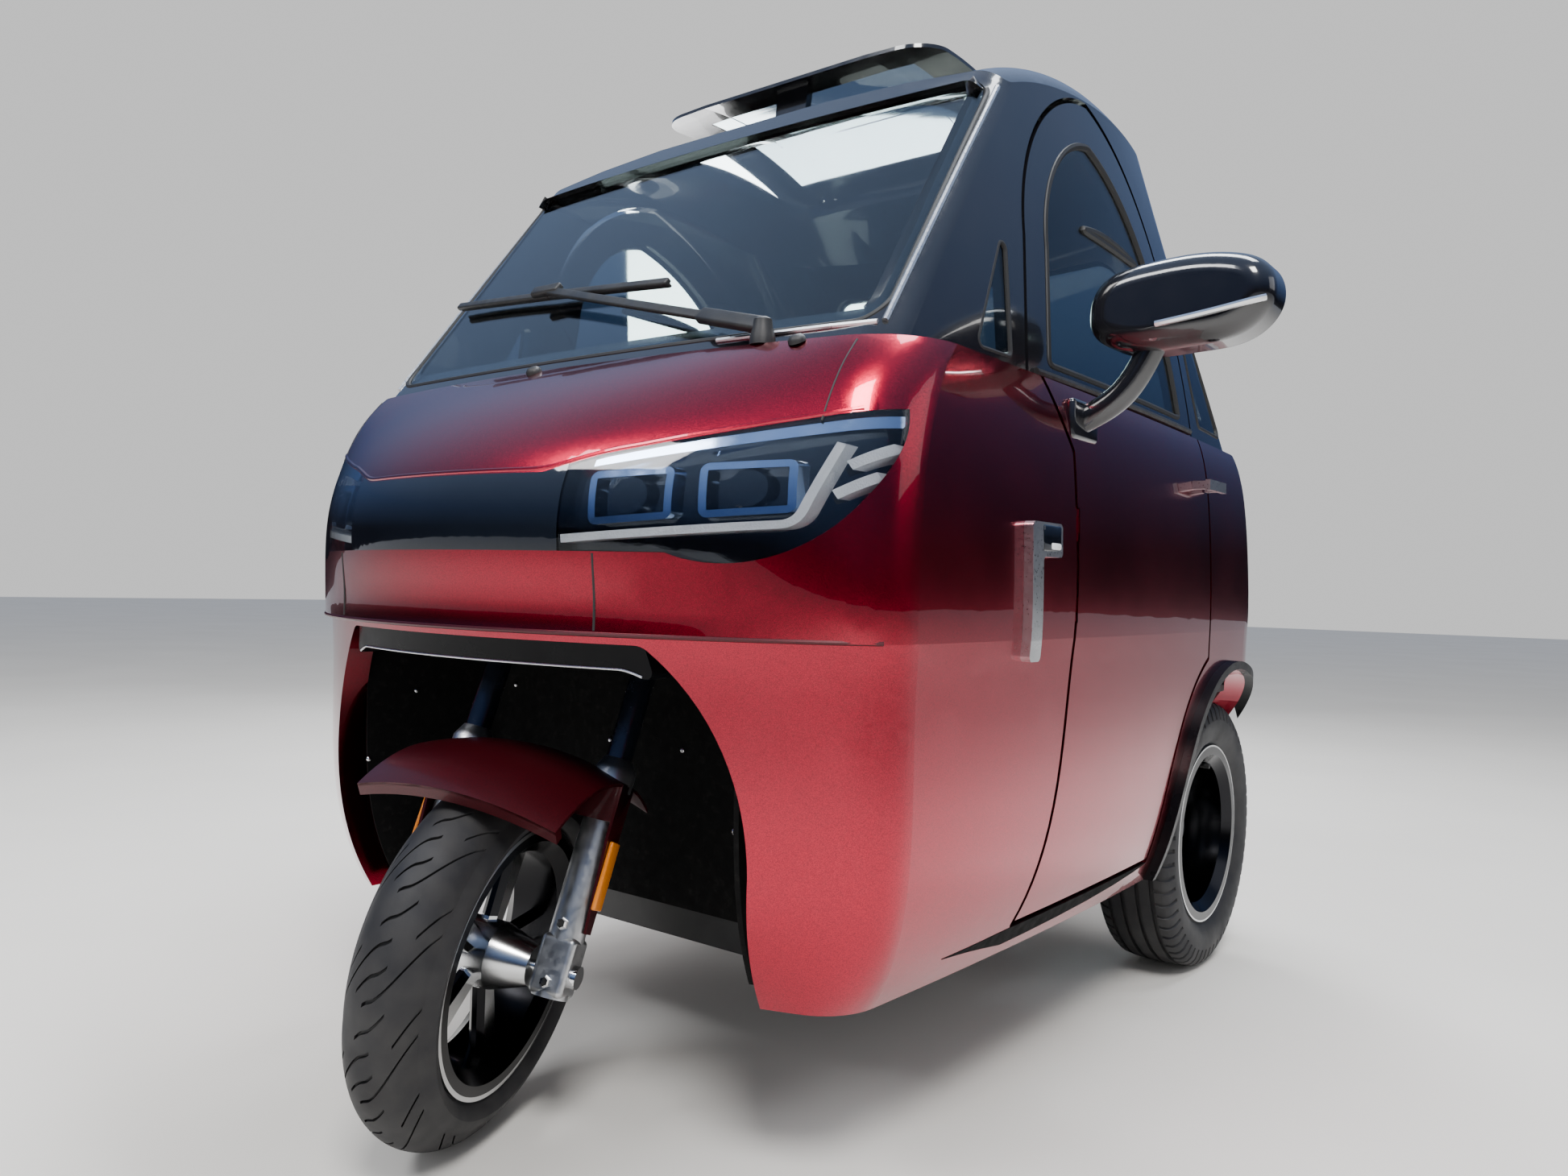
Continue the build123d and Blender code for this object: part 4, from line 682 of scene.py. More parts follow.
def guard_lip():
    """A crowned strip across the front of the mudguard, in the wheel's own frame."""
    bm = bmesh.new()
    marks = [2 * i / GUARD_STEPS - 1 for i in range(GUARD_STEPS + 1)]
    crown = [GUARD_CROWN_R - (GUARD_CROWN_R - GUARD_EDGE_R) * mark**2 for mark in marks]
    over = [bm.verts.new((GUARD_HALF * mark, 0, r + GUARD_T)) for mark, r in zip(marks, crown)]
    under = [bm.verts.new((GUARD_HALF * mark, 0, r - LIP_DEEP)) for mark, r in zip(marks, crown)]
    for i in range(GUARD_STEPS):
        bm.faces.new((over[i], over[i + 1], under[i + 1], under[i]))
    front = bmesh.ops.extrude_face_region(bm, geom=bm.faces[:])
    ahead = [part for part in front["geom"] if isinstance(part, bmesh.types.BMVert)]
    bmesh.ops.rotate(bm, cent=(0, 0, 0), matrix=Matrix.Rotation(LIP_TURN, 3, "X"), verts=ahead)
    return moved(bm, FRONT_HUB @ Matrix.Rotation(GUARD_END - LIP_TURN, 4, "X"))


def shortened_guard():
    """The CAD mudguard cut off square at both ends."""
    bm = bmesh.new()
    bm.from_mesh(nodes["mudguard"].data)
    bmesh.ops.remove_doubles(bm, verts=bm.verts, dist=MERGE)
    ends = [Vector((0, -cos(GUARD_END), -sin(GUARD_END))), Vector((0, cos(GUARD_BACK), -sin(GUARD_BACK)))]
    for outward in ends:
        cut = bmesh.ops.bisect_plane(
            bm, geom=bm.verts[:] + bm.edges[:] + bm.faces[:], plane_co=FRONT_HUB.translation,
            plane_no=FRONT_HUB.to_3x3() @ outward, clear_outer=True,
        )
        rim = [part for part in cut["geom_cut"] if isinstance(part, bmesh.types.BMEdge)]
        bmesh.ops.holes_fill(bm, edges=rim, sides=0)
    return bm


# The mudguard visor is the body's red with painted shade, in the darkened red paint.
guard_piece = finished("mudguard_visor", joined(shortened_guard(), guard_lip()), RED_IN_PAINTED_SHADE, "fork", 30)
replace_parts(guard_piece, "mudguard")


# Glass edges: black bands behind the panes, seals round them and bright strips
FILM = 0.0004


def pane_face(name, facing, keep=None):
    """The outward face of a CAD pane, as a bmesh of its own."""
    bm = bmesh.new()
    bm.from_mesh(nodes[name].data)
    bmesh.ops.remove_doubles(bm, verts=bm.verts, dist=MERGE)
    out = Vector(facing)
    away = [f for f in bm.faces if f.normal.dot(out) < 0.3 or (keep and not keep(f.calc_center_median()))]
    bmesh.ops.delete(bm, geom=away, context="FACES")
    return bm


def black_band(name, facing, width, depth, keep=None):
    """The printed black border of a pane, just behind it."""
    bm = pane_face(name, facing, keep)
    ring = bmesh.ops.inset_region(
        bm, faces=bm.faces[:], thickness=width, use_even_offset=True, use_boundary=True
    )
    border = set(ring["faces"])
    inner = [f for f in bm.faces if f not in border]
    bmesh.ops.delete(bm, geom=inner, context="FACES")
    back = Vector(facing).normalized() * -depth
    bmesh.ops.translate(bm, vec=back, verts=bm.verts)
    bmesh.ops.solidify(bm, geom=bm.faces[:], thickness=FILM)
    return bm


def pane_seal(name, facing, radius, keep=None):
    """A rubber bead round the outer edge of a pane."""
    bm = pane_face(name, facing, keep)
    rim = {edge for edge in bm.edges if edge.is_boundary}
    strips = []
    while rim:
        first = min(rim, key=lambda edge: sorted(tuple(vert.co) for vert in edge.verts))
        rim.remove(first)
        loop = sorted(first.verts, key=lambda vert: tuple(vert.co))
        while True:
            onward = [e for e in loop[-1].link_edges if e in rim]
            if not onward:
                break
            rim.remove(onward[0])
            loop.append(onward[0].other_vert(loop[-1]))
        points = [vert.co.copy() for vert in loop[:-1]]
        if len(points) > 6:
            strips.append(bead(points, radius, closed=True))
    bm.free()
    return joined(*strips)


LEFT, RIGHT, AHEAD, BEHIND = (1, 0, 0.1), (-1, 0, 0.1), (0, -0.8, 0.6), (0, 0.8, 0.6)
finished("windscreen_black_band", black_band("windscreen", AHEAD, 0.030, 0.0075), PIANO, "body")
finished("windscreen_seal", pane_seal("windscreen", AHEAD, 0.0045), SEAL, "body")
finished("rear_glass_seal", pane_seal("rear_glass", BEHIND, 0.006, lambda c: abs(c.x) < 0.40), SEAL, "body")
for side, out, sign in (("left", LEFT, 1), ("right", RIGHT, -1)):
    finished(f"door_{side}_glass_seal", pane_seal(f"door_{side}_glass", out, 0.006), SEAL, f"door_{side}")
    quarter = pane_seal("quarter_glass", out, 0.004, lambda c: c.x * sign > 0)
    finished(f"quarter_glass_seal_{side}", quarter, SEAL, "body")
    corner = pane_seal("rear_glass", out, 0.005, lambda c: c.x * sign > 0.40 and c.z < 1.25)
    finished(f"rear_quarter_seal_{side}", corner, SEAL, "body")

cabin_skin = skin("screen_pillars", "windscreen", "roof_panel")
nose_skin = skin("hood", "front_fenders", "nose_panel", "lamp_band", "headlamp_lenses")
side_skin = skin("door_left_panel", "door_right_panel", "front_fenders", "rear_quarters", "sills")


STRIP_Z = (1.012, 1.10, 1.20, 1.30, 1.386)
STRIP_X = 0.4745
STRIP_LEAN = 0.038
STRIP_PROUD = 0.001
FOOT_STRIP_X = (0.24, 0.30, 0.36, 0.42, 0.468)
FOOT_STRIP_Z = 1.0105


def screen_edge(side):
    """Points up one side of the windscreen."""
    spots = [(side * (STRIP_X - STRIP_LEAN * (z - STRIP_Z[0])), z) for z in STRIP_Z]
    return [front_point(cabin_skin, x, z, STRIP_PROUD) for x, z in spots]


bright_strips = [bead(screen_edge(side), 0.0042) for side in (-1, 1)]
foot = [front_point(cabin_skin, x, FOOT_STRIP_Z, STRIP_PROUD) for x in FOOT_STRIP_X]
finished("screen_bright_strips", joined(*bright_strips, bead(foot, 0.0036)), SILVER, "body")


SEAM_R = 0.0016
SEAM_SINK = 0.0006
HOOD_SEAM_X = 0.464
HOOD_SEAM_Z = (0.885, 0.91, 0.94, 0.965, 0.985)
NOSE_SEAM_X = 0.249
NOSE_SEAM_Z = (0.650, 0.68, 0.71, 0.736)


def seam(points, name, body="body"):
    finished(name, bead(points, SEAM_R), SEAL, body)


for sign, side in ((1, "left"), (-1, "right")):
    hood_gap = [front_point(nose_skin, sign * HOOD_SEAM_X, z, -SEAM_SINK) for z in HOOD_SEAM_Z]
    seam(hood_gap, f"hood_seam_{side}")
    nose_gap = [front_point(nose_skin, sign * NOSE_SEAM_X, z, -SEAM_SINK) for z in NOSE_SEAM_Z]
    seam(nose_gap, f"nose_seam_{side}")

# Liner screws, on the walls and the back of the front wheel's housing
SCREWS = [
    ((-0.3474, -0.5820, 0.5284), (0.976, -0.217, 0)), ((-0.3629, -0.6516, 0.4270), (0.976, -0.217, 0)),
    ((-0.0748, -0.4280, 0.4660), (0, -1, 0)), ((-0.2904, -0.4348, 0.5338), (0.451, -0.892, 0)),
]
SCREW_HEAD = [(0, 0), (0, 0.0042), (0.0012, 0.0040), (0.0026, 0.0026), (0.0030, 0)]
screws = []
for spot, out in SCREWS:
    for sign in (1, -1):
        aim = x_along((sign * out[0], out[1], out[2]))
        screws.append(moved(turned(SCREW_HEAD, 16), at(sign * spot[0], spot[1], spot[2]) @ aim))
finished("liner_screws", joined(*screws), CHROME, "body")

EDGE_STEPS = 130
EDGE_PITCH = 0.020
CREASE_PITCH = 0.0265
CREASE_Z = 0.6462


def edge_seen(tree, x, start, stop):
    """The first point from height start to height stop where a skin is seen from straight ahead at x."""
    for i in range(EDGE_STEPS):
        z = start + (stop - start) * i / EDGE_STEPS
        spot, _, _, _ = tree.ray_cast(Vector((x, -2, z)), Vector((0, 1, 0)))
        if spot:
            return spot
    return None


# Front edges: a silver bead as painted highlight along the mouth lip's lower edge, the lit edge of the hood
# and a dark bead as painted shade in the crease under the nose
lip_skin = skin("mouth_lip")
lip_highlight_points = [edge_seen(lip_skin, EDGE_PITCH * i, 0.590, 0.636) for i in range(-14, 15)]
lip_highlight_points = [spot + Vector((0, -0.0006, 0.0015)) for spot in lip_highlight_points if spot]
# The lip is black; the silver bead along its lower edge is a painted highlight.
finished("mouth_lip_painted_highlight", bead(lip_highlight_points, SEAM_R), SILVER, "body")
lamp_skin = skin("lamp_band", "headlamp_lenses", "headlamp_units")
lamp_tops = [edge_seen(lamp_skin, EDGE_PITCH * i, 0.930, 0.800) for i in range(-25, 26)]
hood_edge = [front_point(nose_skin, spot.x, spot.z + 0.004, -0.0015) for spot in lamp_tops if spot]
finished("hood_lit_edge", bead(hood_edge, 0.0034), RED, "body")
# A dark bead sunk along the crease: painted shade under the overhanging strip above it.
crease = [front_point(nose_skin, CREASE_PITCH * i, CREASE_Z, -0.0012) for i in range(-20, 21)]
finished("nose_crease_painted_shade", bead(crease, 0.0030), RED_IN_PAINTED_SHADE, "body")

# Wiper
SCREEN_OUT = Vector((0, -0.81, 0.59))
SCREEN_FOOT_Y = -0.582
SCREEN_FOOT_Z = 0.992
SCREEN_RISE = 0.284
SCREEN_RUN = 0.207
SCREEN_BOW = 0.022
SCREEN_HALF = 0.492


def screen_point(x, z, proud):
    """A point on the outside of the screen, stood off it by proud."""
    share = (z - SCREEN_FOOT_Z) / SCREEN_RISE
    y = SCREEN_FOOT_Y + SCREEN_RUN * share + SCREEN_BOW * (x / SCREEN_HALF) ** 2
    return Vector((x, y, z)) + SCREEN_OUT * proud


def bar(start, end, width, height, bevel):
    """A rounded bar between two points, lying along the screen."""
    along = (end - start).normalized()
    across = SCREEN_OUT.cross(along).normalized()
    turn = Matrix((along, across, along.cross(across))).transposed().to_4x4()
    block = rounded_block(((end - start).length, width, height), bevel)
    return moved(block, Matrix.Translation((start + end) / 2) @ turn)


WIPER_PIVOT = Vector((0.329, -0.5835, 0.992))
PIVOT_CAP = [
    (0, 0), (0, 0.016), (0.010, 0.0155), (0.022, 0.012), (0.031, 0.011), (0.034, 0.006), (0.0345, 0),
]
BLADE = [(-0.440, 1.158, 0.012), (-0.174, 1.136, 0.011), (0.092, 1.114, 0.011)]
CLIP_HALF = Vector((0.030, 0, 0))
RUBBER_DROP = SCREEN_OUT * 0.006
arm_foot = WIPER_PIVOT + Vector((0, 0, 0.024))
arm_tip = screen_point(-0.174, 1.136, 0.020)
arm_knee = arm_foot.lerp(arm_tip, 0.24)
blade_ends = [screen_point(*spot) for spot in BLADE]
rubber_ends = [end - RUBBER_DROP for end in blade_ends]
wiper_shapes = [
    moved(turned(PIVOT_CAP, 28), Matrix.Translation(WIPER_PIVOT) @ X_TO_UP),
    bar(arm_foot, arm_knee, 0.022, 0.013, 0.004),
    bar(arm_knee, arm_tip, 0.014, 0.007, 0.002),
    bar(arm_tip - CLIP_HALF, arm_tip + CLIP_HALF, 0.018, 0.012, 0.004),
    bar(blade_ends[0], blade_ends[1], 0.013, 0.009, 0.003),
    bar(blade_ends[1], blade_ends[2], 0.013, 0.009, 0.003),
    bar(rubber_ends[0], rubber_ends[1], 0.004, 0.006, 0.001),
    bar(rubber_ends[1], rubber_ends[2], 0.004, 0.006, 0.001),
]
wiper_piece = finished("wiper_arm_and_blade", joined(*wiper_shapes), TRIM_BLACK, "body")
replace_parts(wiper_piece, "wiper")

NOZZLE = [(0, 0), (0, 0.011), (0.004, 0.0105), (0.008, 0.007), (0.0095, 0)]
HOOD_OUT = (0, -0.5, 0.86)
nozzles = []
for x in (0.388, -0.043):
    nozzle_at = Matrix.Translation(front_point(nose_skin, x, 0.988)) @ x_along(HOOD_OUT)
    nozzles.append(moved(turned(NOZZLE, 20), nozzle_at))
finished("washer_nozzles", joined(*nozzles), TRIM_BLACK, "body")

# Mirrors
MIRROR_STRIP = [(0.652, 1.062), (0.700, 1.067), (0.745, 1.073), (0.775, 1.079), (0.786, 1.082)]
MIRROR_SEAM = [(0.585, 1.052), (0.62, 1.056), (0.66, 1.059)]
for sign, side in ((1, "left"), (-1, "right")):
    mirror_skin = skin(f"door_{side}_mirror")
    points = [front_point(mirror_skin, sign * x, z, 0.0005) for x, z in MIRROR_STRIP]
    finished(f"mirror_bright_strip_{side}", bead(points, 0.0045), CHROME, f"door_{side}")
    points = [front_point(mirror_skin, sign * x, z, -0.0004) for x, z in MIRROR_SEAM]
    seam(points, f"mirror_seam_{side}", f"door_{side}")
    glass = pane_face(f"door_{side}_mirror", (0, 1, 0), lambda c: c.z > 1.0 and c.y > -0.0915)
    bmesh.ops.dissolve_faces(glass, faces=glass.faces[:])
    bmesh.ops.inset_individual(glass, faces=glass.faces[:], thickness=0.007)
    ring = sorted(glass.faces, key=lambda f: f.calc_area())[:-1]
    bmesh.ops.delete(glass, geom=ring, context="FACES")
    bmesh.ops.translate(glass, vec=(0, 0.0006, 0), verts=glass.verts)
    bmesh.ops.solidify(glass, geom=glass.faces[:], thickness=FILM)
    finished(f"mirror_glass_{side}", glass, MIRROR_GLASS, f"door_{side}")
    base = rounded_block((0.014, 0.086, 0.056), 0.006)
    foot = side_point(side_skin, sign, -0.132, 0.946)
    finished(f"mirror_base_{side}", moved(base, Matrix.Translation(foot)), PIANO, f"door_{side}")

# Sill recess: a black wedge under the door that runs out to a point ahead of it
WEDGE_ROWS = [
    (-0.430, 0.2607, 0.2604), (-0.395, 0.2610, 0.2572), (-0.360, 0.2615, 0.2535), (-0.330, 0.2620, 0.2495),
    (-0.300, 0.2628, 0.2450), (-0.270, 0.2636, 0.2405), (-0.200, 0.2636, 0.2412), (-0.100, 0.2636, 0.2432),
    (0.0, 0.2636, 0.2462), (0.10, 0.2636, 0.2510), (0.18, 0.2636, 0.2568), (0.232, 0.2636, 0.2626),
]
WEDGE_PROUD = 0.0006
WEDGE_SUNK = -0.002


def sill_wedge(sign):
    """The wedge on one sill, from rows of y with a top and a foot height."""
    bm = bmesh.new()
    rows = []
    for y, top, foot in WEDGE_ROWS:
        corners = [(top, WEDGE_PROUD), (foot, WEDGE_PROUD), (foot, WEDGE_SUNK), (top, WEDGE_SUNK)]
        rows.append([bm.verts.new(side_point(side_skin, sign, y, z, proud)) for z, proud in corners])
    for near, far in zip(rows, rows[1:]):
        for i in range(4):
            bm.faces.new((near[i - 1], near[i], far[i], far[i - 1]))
    bm.faces.new(rows[0])
    bm.faces.new(rows[-1])
    return bm


for sign, side in ((1, "left"), (-1, "right")):
    finished(f"sill_recess_{side}", sill_wedge(sign), LINER, "body")

# Side markers: a dark glass corner with a small lens
for sign, side in ((1, "left"), (-1, "right")):
    dark = moved(rounded_block((0.010, 0.056, 0.037), 0.004), at(sign * 0.5579, -0.2665, 0.7755))
    finished(f"marker_dark_glass_{side}", dark, SMOKED, "body")
    lens = moved(rounded_block((0.012, 0.028, 0.009), 0.003), at(sign * 0.5588, -0.2570, 0.7660))
    finished(f"marker_lens_{side}", lens, WHITE_LENS, "body")

# Door waist strips and inner cards
WAIST_Z = 1.003
WAIST_Y = (-0.225, -0.10, 0.05, 0.20, 0.34, 0.425)
for sign, side in ((1, "left"), (-1, "right")):
    door_skin = skin(f"door_{side}_frame")
    waist = [side_point(door_skin, sign, y, WAIST_Z, 0.002) for y in WAIST_Y]
    finished(f"waist_strip_{side}", bead(waist, 0.006), TRIM_BLACK, f"door_{side}")
    card = joined(
        moved(rounded_block((0.012, 0.50, 0.44), 0.005), at(sign * 0.5035, 0.085, 0.735)),
        moved(rounded_block((0.040, 0.26, 0.045), 0.014), at(sign * 0.484, 0.14, 0.800)),
        moved(rounded_block((0.030, 0.34, 0.070), 0.010), at(sign * 0.488, 0.04, 0.585)),
    )
    finished(f"door_card_{side}", card, INNER_BLACK, f"door_{side}")

# Handlebar: grips, levers, switch pods and a display
BAR_Z = 0.663
BAR_DIR = Vector((0.230, 0.110, 0)).normalized()
BAR_BEND = Vector((0.070, 0, 0))
GRIP_START = 0.142
POD_BACK = 0.026
GRIP_RIBS = 9
RIB_PITCH = 0.010
RIB = [(0, 0.0172), (0.003, 0.0182), (0.007, 0.0182), (0.0085, 0.0172)]
LEVER = [(0.045, (0.012, -0.022, 0)), (0.11, (0.014, -0.026, 0)), (0.150, (0.008, -0.016, 0))]
grip_rings = [(0, 0), (0, 0.020), (0.005, 0.021), (0.009, 0.0175)]
for i in range(GRIP_RIBS):
    start = 0.012 + i * RIB_PITCH
    grip_rings += [(start + along, radius) for along, radius in RIB]
grip_rings += [(0.106, 0.018), (0.112, 0.0195), (0.116, 0.0185), (0.117, 0)]
grips, pods, levers = [], [], []
for sign in (1, -1):
    inner = BAR_BEND + BAR_DIR * GRIP_START
    aim = x_along((sign * BAR_DIR.x, BAR_DIR.y, 0))
    grips.append(moved(turned(grip_rings, 28), FORK @ at(sign * inner.x, inner.y, BAR_Z) @ aim))
    pod = inner - BAR_DIR * POD_BACK
    pod_at = FORK @ at(sign * pod.x, pod.y, BAR_Z) @ aim
    pods.append(moved(rounded_block((0.038, 0.040, 0.044), 0.010), pod_at))
    start = pod + Vector((0.006, -0.028, 0))
    ends = [start] + [start + BAR_DIR * along + Vector(bend) for along, bend in LEVER]
    points = [FORK @ Vector((sign * p.x, p.y, BAR_Z - 0.002)) for p in ends]
    levers.append(bead(points, 0.0055))
finished("handlebar_grips", joined(*grips), SEAL, "fork")
finished("handlebar_switch_pods", joined(*pods), TRIM_BLACK, "fork")
finished("brake_levers", joined(*levers), ALLOY, "fork")
display_at = FORK @ at(0, -0.002, BAR_Z + 0.030) @ Matrix.Rotation(radians(28), 4, "X")
housing = moved(rounded_block((0.150, 0.074, 0.034), 0.012), display_at)
finished("display_housing", housing, TRIM_BLACK, "fork")
display = moved(rounded_block((0.128, 0.054, 0.004), 0.0015), display_at @ at(0, 0, 0.0165))
finished("display_glass", display, SMOKED, "fork")

# Tail: lamp bezels, reflectors, tailgate handle
tail_skin = skin("tail_panel", "tailgate", "tail_lamps")
LOOP = [(-1, -0.6), (-1, 0.6), (-0.6, 1), (0.6, 1), (1, 0.6), (1, -0.6), (0.6, -1), (-0.6, -1)]


def rear_point(x, z, proud=0.0):
    spot, normal, _, _ = tail_skin.ray_cast(Vector((x, 2, z)), Vector((0, -1, 0)))
    return spot + normal * proud


def rear_frame(x, z, proud):
    """A frame on the tail with Y square to the surface and X across it."""
    spot, normal, _, _ = tail_skin.ray_cast(Vector((x, 2, z)), Vector((0, -1, 0)))
    across = normal.cross(Vector((0, 0, 1))).normalized()
    turn = Matrix((across, normal, across.cross(normal))).transposed()
    return Matrix.Translation(spot + normal * proud) @ turn.to_4x4()


def rear_loop(x, z, half_x, half_z):
    """Points round a rounded box outline on the tail, as seen from behind."""
    return [rear_point(x + u * half_x, z + v * half_z, -0.001) for u, v in LOOP]


TAIL_LAMP_X = 0.378
TAIL_LAMP_Z = 0.760
bezels = []
for sign in (-1, 1):
    outline = rear_loop(sign * TAIL_LAMP_X, TAIL_LAMP_Z, 0.071, 0.048)
    bezels.append(bead(outline, 0.0042, closed=True))
finished("tail_lamp_bezels", joined(*bezels), PIANO, "body")
reflectors = []
for sign in (-1, 1):
    slab = rounded_block((0.080, 0.008, 0.030), 0.003)
    reflectors.append(moved(slab, rear_frame(sign * 0.33, 0.47, -0.001)))
finished("tail_reflectors", joined(*reflectors), RED_LENS, "body")
handle_at = Matrix.Translation(rear_point(0, 0.660, -0.0085))
handle = moved(rounded_block((0.120, 0.018, 0.026), 0.007), handle_at)
finished("tailgate_handle", handle, TRIM_BLACK, "tailgate")


# Seat: stuffed vinyl cushion and back
SEAT_BACK_AT = Matrix.Translation((0, 0.466, 0.5)) @ Matrix.Rotation(radians(-10), 4, "X")
PAD_SEGMENTS = 4
PAD_SWELL = 0.012
PAD_PRESSURE = 4.0
PAD_STEPS = 20
PAD_VOXEL = 0.006


def stuffed(name, bm, cap):
    """Swells a closed pad under pressure, with no point moving further than cap, and keeps the result."""
    draft = bpy.data.meshes.new(name)
    bm.to_mesh(draft)
    bm.free()
    pad = bpy.data.objects.new(name, draft)
    bpy.context.collection.objects.link(pad)
    remesh = pad.modifiers.new("even_skin", "REMESH")
    remesh.mode = "VOXEL"
    remesh.voxel_size = PAD_VOXEL
    graph = bpy.context.evaluated_depsgraph_get()
    even = bpy.data.meshes.new_from_object(pad.evaluated_get(graph))
    pad.modifiers.clear()
    pad.data = even
    start = [vert.co.copy() for vert in even.vertices]
    cloth = pad.modifiers.new("stuffing", "CLOTH")
    cloth.settings.use_pressure = True
    cloth.settings.uniform_pressure_force = PAD_PRESSURE
    cloth.settings.effector_weights.gravity = 0.0
    for step in range(1, PAD_STEPS + 1):
        bpy.context.scene.frame_set(step)
    graph = bpy.context.evaluated_depsgraph_get()
    swollen = bpy.data.meshes.new_from_object(pad.evaluated_get(graph))
    pad.modifiers.clear()
    pad.data = swollen
    bpy.context.scene.frame_set(1)
    for vert, rest in zip(swollen.vertices, start):
        shift = vert.co - rest
        if shift.length > cap:
            vert.co = rest + shift.normalized() * cap
    pad.data.shade_smooth()
    smooth = pad.modifiers.new("soft_skin", "SUBSURF")
    smooth.levels = smooth.render_levels = 1
    pad.data.materials.clear()
    pad.data.materials.append(VINYL)
    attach(pad, "body")
    return pad


cushion = moved(rounded_block((0.416, 0.425, 0.078), 0.028, PAD_SEGMENTS), at(0, 0.245, 0.518))
back = moved(rounded_block((0.406, 0.068, 0.536), 0.026, PAD_SEGMENTS), SEAT_BACK_AT @ at(0, 0.045, 0.280))
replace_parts(stuffed("seat_cushion_pad", cushion, PAD_SWELL), "seat_cushion")
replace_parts(stuffed("seat_back_pad", back, PAD_SWELL), "seat_back")


# Studio: pale floor, soft lights and the camera
FLOOR_HALF = 30.0
BACKDROP = (0.80, 0.80, 0.80)
WASH_STRENGTH = 0.72
SKY_STRENGTH = 0.9


def build_floor():
    mesh = bpy.data.meshes.new("studio_floor")
    bm = bmesh.new()
    bmesh.ops.create_grid(bm, x_segments=1, y_segments=1, size=FLOOR_HALF)
    bm.to_mesh(mesh)
    bm.free()
    floor = bpy.data.objects.new("studio_floor", mesh)
    bpy.context.collection.objects.link(floor)
    pale = Finish("pale_floor", (0.78, 0.77, 0.75), 0.7, 0.0, Specular_IOR_Level=0.0)
    pale.shade(pale.noise(1.2), (0.76, 0.75, 0.73), (0.80, 0.79, 0.77))
    mesh.materials.append(pale.material)


def soft_light(name, place, size, watts, aim, colour=(1.0, 1.0, 1.0)):
    lamp = bpy.data.lights.new(name, "AREA")
    lamp.shape = "RECTANGLE"
    lamp.size, lamp.size_y = size
    lamp.energy = watts
    lamp.color = colour
    holder = bpy.data.objects.new(name, lamp)
    holder.location = place
    holder.rotation_euler = (Vector(aim) - Vector(place)).to_track_quat("-Z", "Y").to_euler()
    bpy.context.collection.objects.link(holder)


def background(tree, colour, strength):
    shade = tree.nodes.new("ShaderNodeBackground")
    shade.inputs["Color"].default_value = (*colour, 1.0)
    shade.inputs["Strength"].default_value = strength
    return shade


def sky_in_reflections(tree):
    """What shiny surfaces see: a dark horizon that clears to a pale blue overhead."""
    coords = tree.nodes.new("ShaderNodeTexCoord")
    split = tree.nodes.new("ShaderNodeSeparateXYZ")
    ramp = tree.nodes.new("ShaderNodeValToRGB")
    stops = ramp.color_ramp.elements
    stops[0].position, stops[0].color = 0.06, (0.012, 0.012, 0.018, 1.0)
    stops[1].position, stops[1].color = 0.75, (0.42, 0.56, 0.86, 1.0)
    middle = stops.new(0.26)
    middle.color = (0.07, 0.12, 0.26, 1.0)
    shade = tree.nodes.new("ShaderNodeBackground")
    shade.inputs["Strength"].default_value = SKY_STRENGTH
    tree.links.new(coords.outputs["Generated"], split.inputs["Vector"])
    tree.links.new(split.outputs["Z"], ramp.inputs["Fac"])
    tree.links.new(ramp.outputs["Color"], shade.inputs["Color"])
    return shade


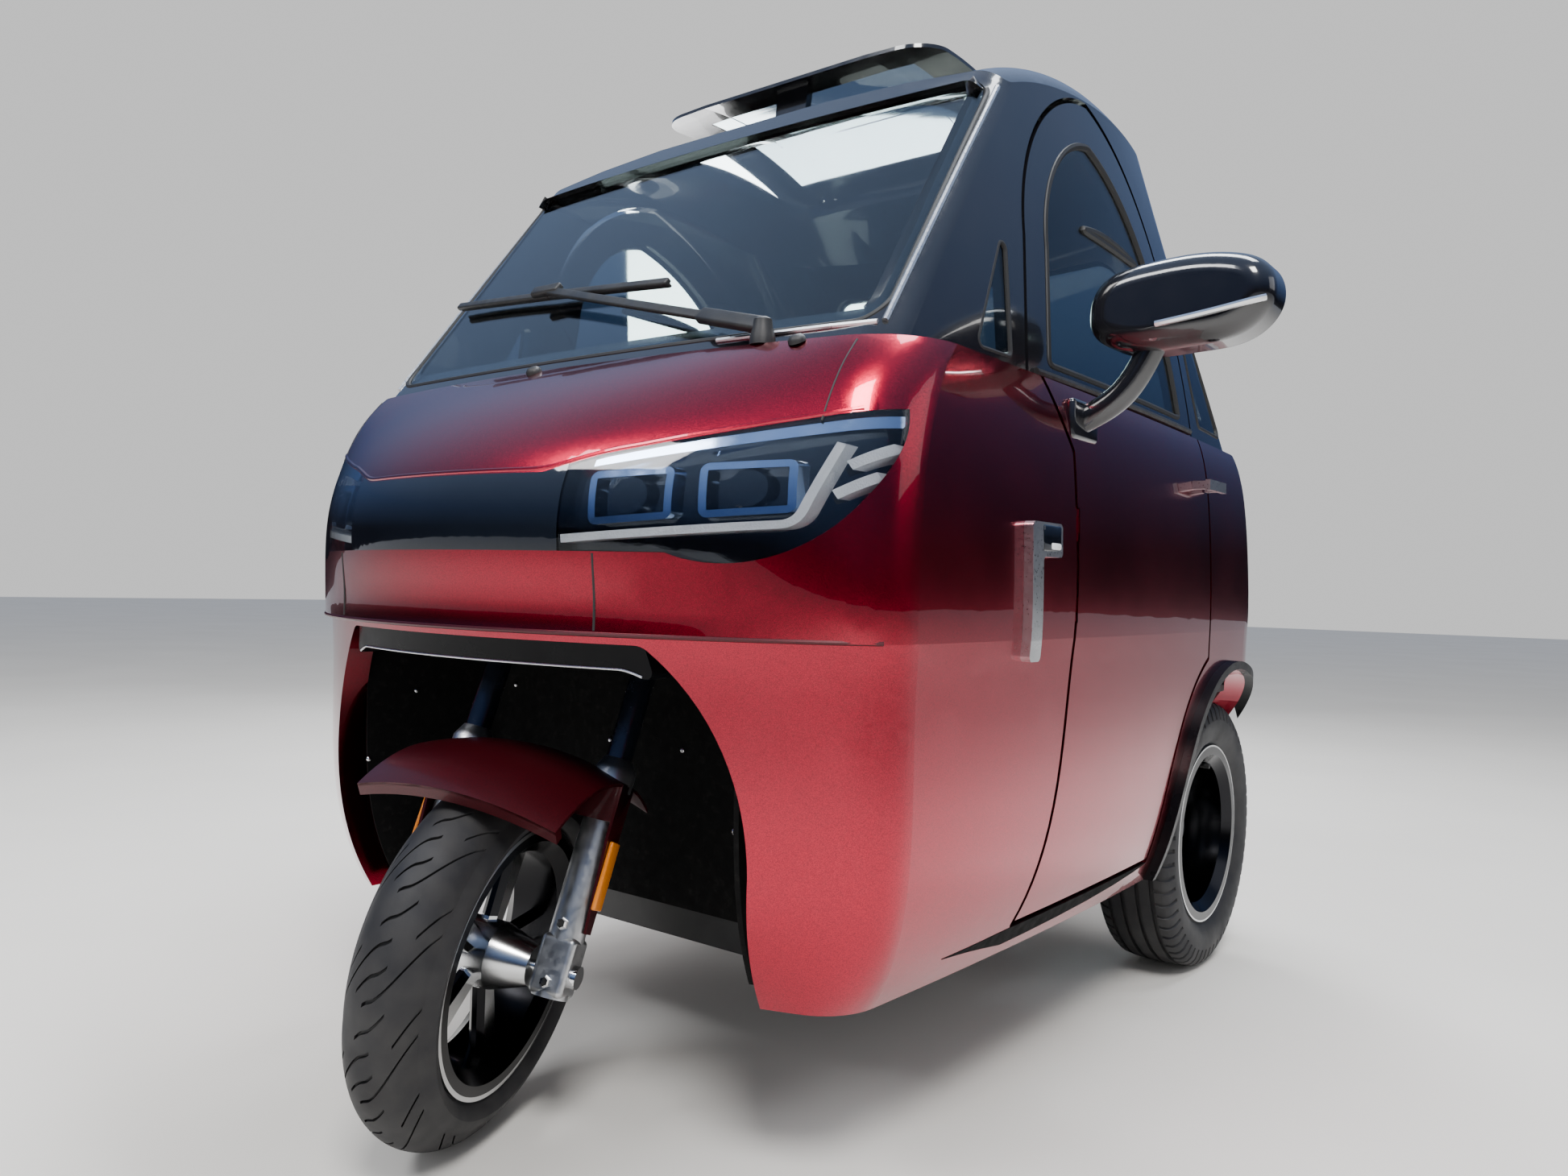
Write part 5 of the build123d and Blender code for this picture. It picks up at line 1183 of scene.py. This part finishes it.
def build_air():
    """A pale backdrop, an even wash on matt surfaces and a dark-to-blue sky in the reflections."""
    world = bpy.data.worlds.new("studio_air")
    world.use_nodes = True
    tree = world.node_tree
    rays = tree.nodes.new("ShaderNodeLightPath")
    seen = tree.nodes["Background"]
    seen.inputs["Color"].default_value = (*BACKDROP, 1.0)
    seen.inputs["Strength"].default_value = 1.0
    wash = background(tree, BACKDROP, WASH_STRENGTH)
    matt = tree.nodes.new("ShaderNodeMixShader")
    tree.links.new(rays.outputs["Is Diffuse Ray"], matt.inputs["Fac"])
    tree.links.new(sky_in_reflections(tree).outputs["Background"], matt.inputs[1])
    tree.links.new(wash.outputs["Background"], matt.inputs[2])
    whole = tree.nodes.new("ShaderNodeMixShader")
    tree.links.new(rays.outputs["Is Camera Ray"], whole.inputs["Fac"])
    tree.links.new(matt.outputs["Shader"], whole.inputs[1])
    tree.links.new(seen.outputs["Background"], whole.inputs[2])
    tree.links.new(whole.outputs["Shader"], tree.nodes["World Output"].inputs["Surface"])
    bpy.context.scene.world = world


def build_studio():
    build_floor()
    build_air()
    soft_light("key_softbox", (2.3, -2.6, 4.3), (1.3, 1.3), 210.0, (0, -0.3, 0.8), (1.0, 0.97, 0.93))
    soft_light("front_softbox", (-1.2, -4.0, 4.6), (2.4, 1.2), 150.0, (0, -0.4, 0.7))
    soft_light("top_softbox", (0.2, 0.8, 4.4), (3.2, 1.0), 170.0, (0, 0.1, 1.0), (0.92, 0.96, 1.0))
    soft_light("side_softbox", (4.4, 1.6, 2.4), (2.6, 1.6), 14.0, (0, 0.2, 0.7))
    soft_light("rear_softbox", (-2.6, 3.4, 2.6), (2.0, 1.4), 110.0, (0, 0.4, 0.8))


def build_camera():
    forward = Vector((-sin(CAMERA_YAW), cos(CAMERA_YAW), 0))
    level = Vector((cos(CAMERA_YAW), sin(CAMERA_YAW), 0))
    up = Vector((0, 0, 1))
    right = level * cos(CAMERA_ROLL) + up * sin(CAMERA_ROLL)
    top = right.cross(forward)
    lens = bpy.data.cameras.new("photo_camera")
    lens.sensor_fit = "HORIZONTAL"
    lens.sensor_width = SENSOR
    lens.lens = FOCAL_PIXELS / PHOTO_WIDTH * SENSOR
    camera = bpy.data.objects.new("photo_camera", lens)
    turn = Matrix((right, top, -forward)).transposed()
    camera.matrix_world = Matrix.Translation(CAMERA_AT) @ turn.to_4x4()
    bpy.context.collection.objects.link(camera)
    bpy.context.scene.camera = camera


build_studio()
build_camera()
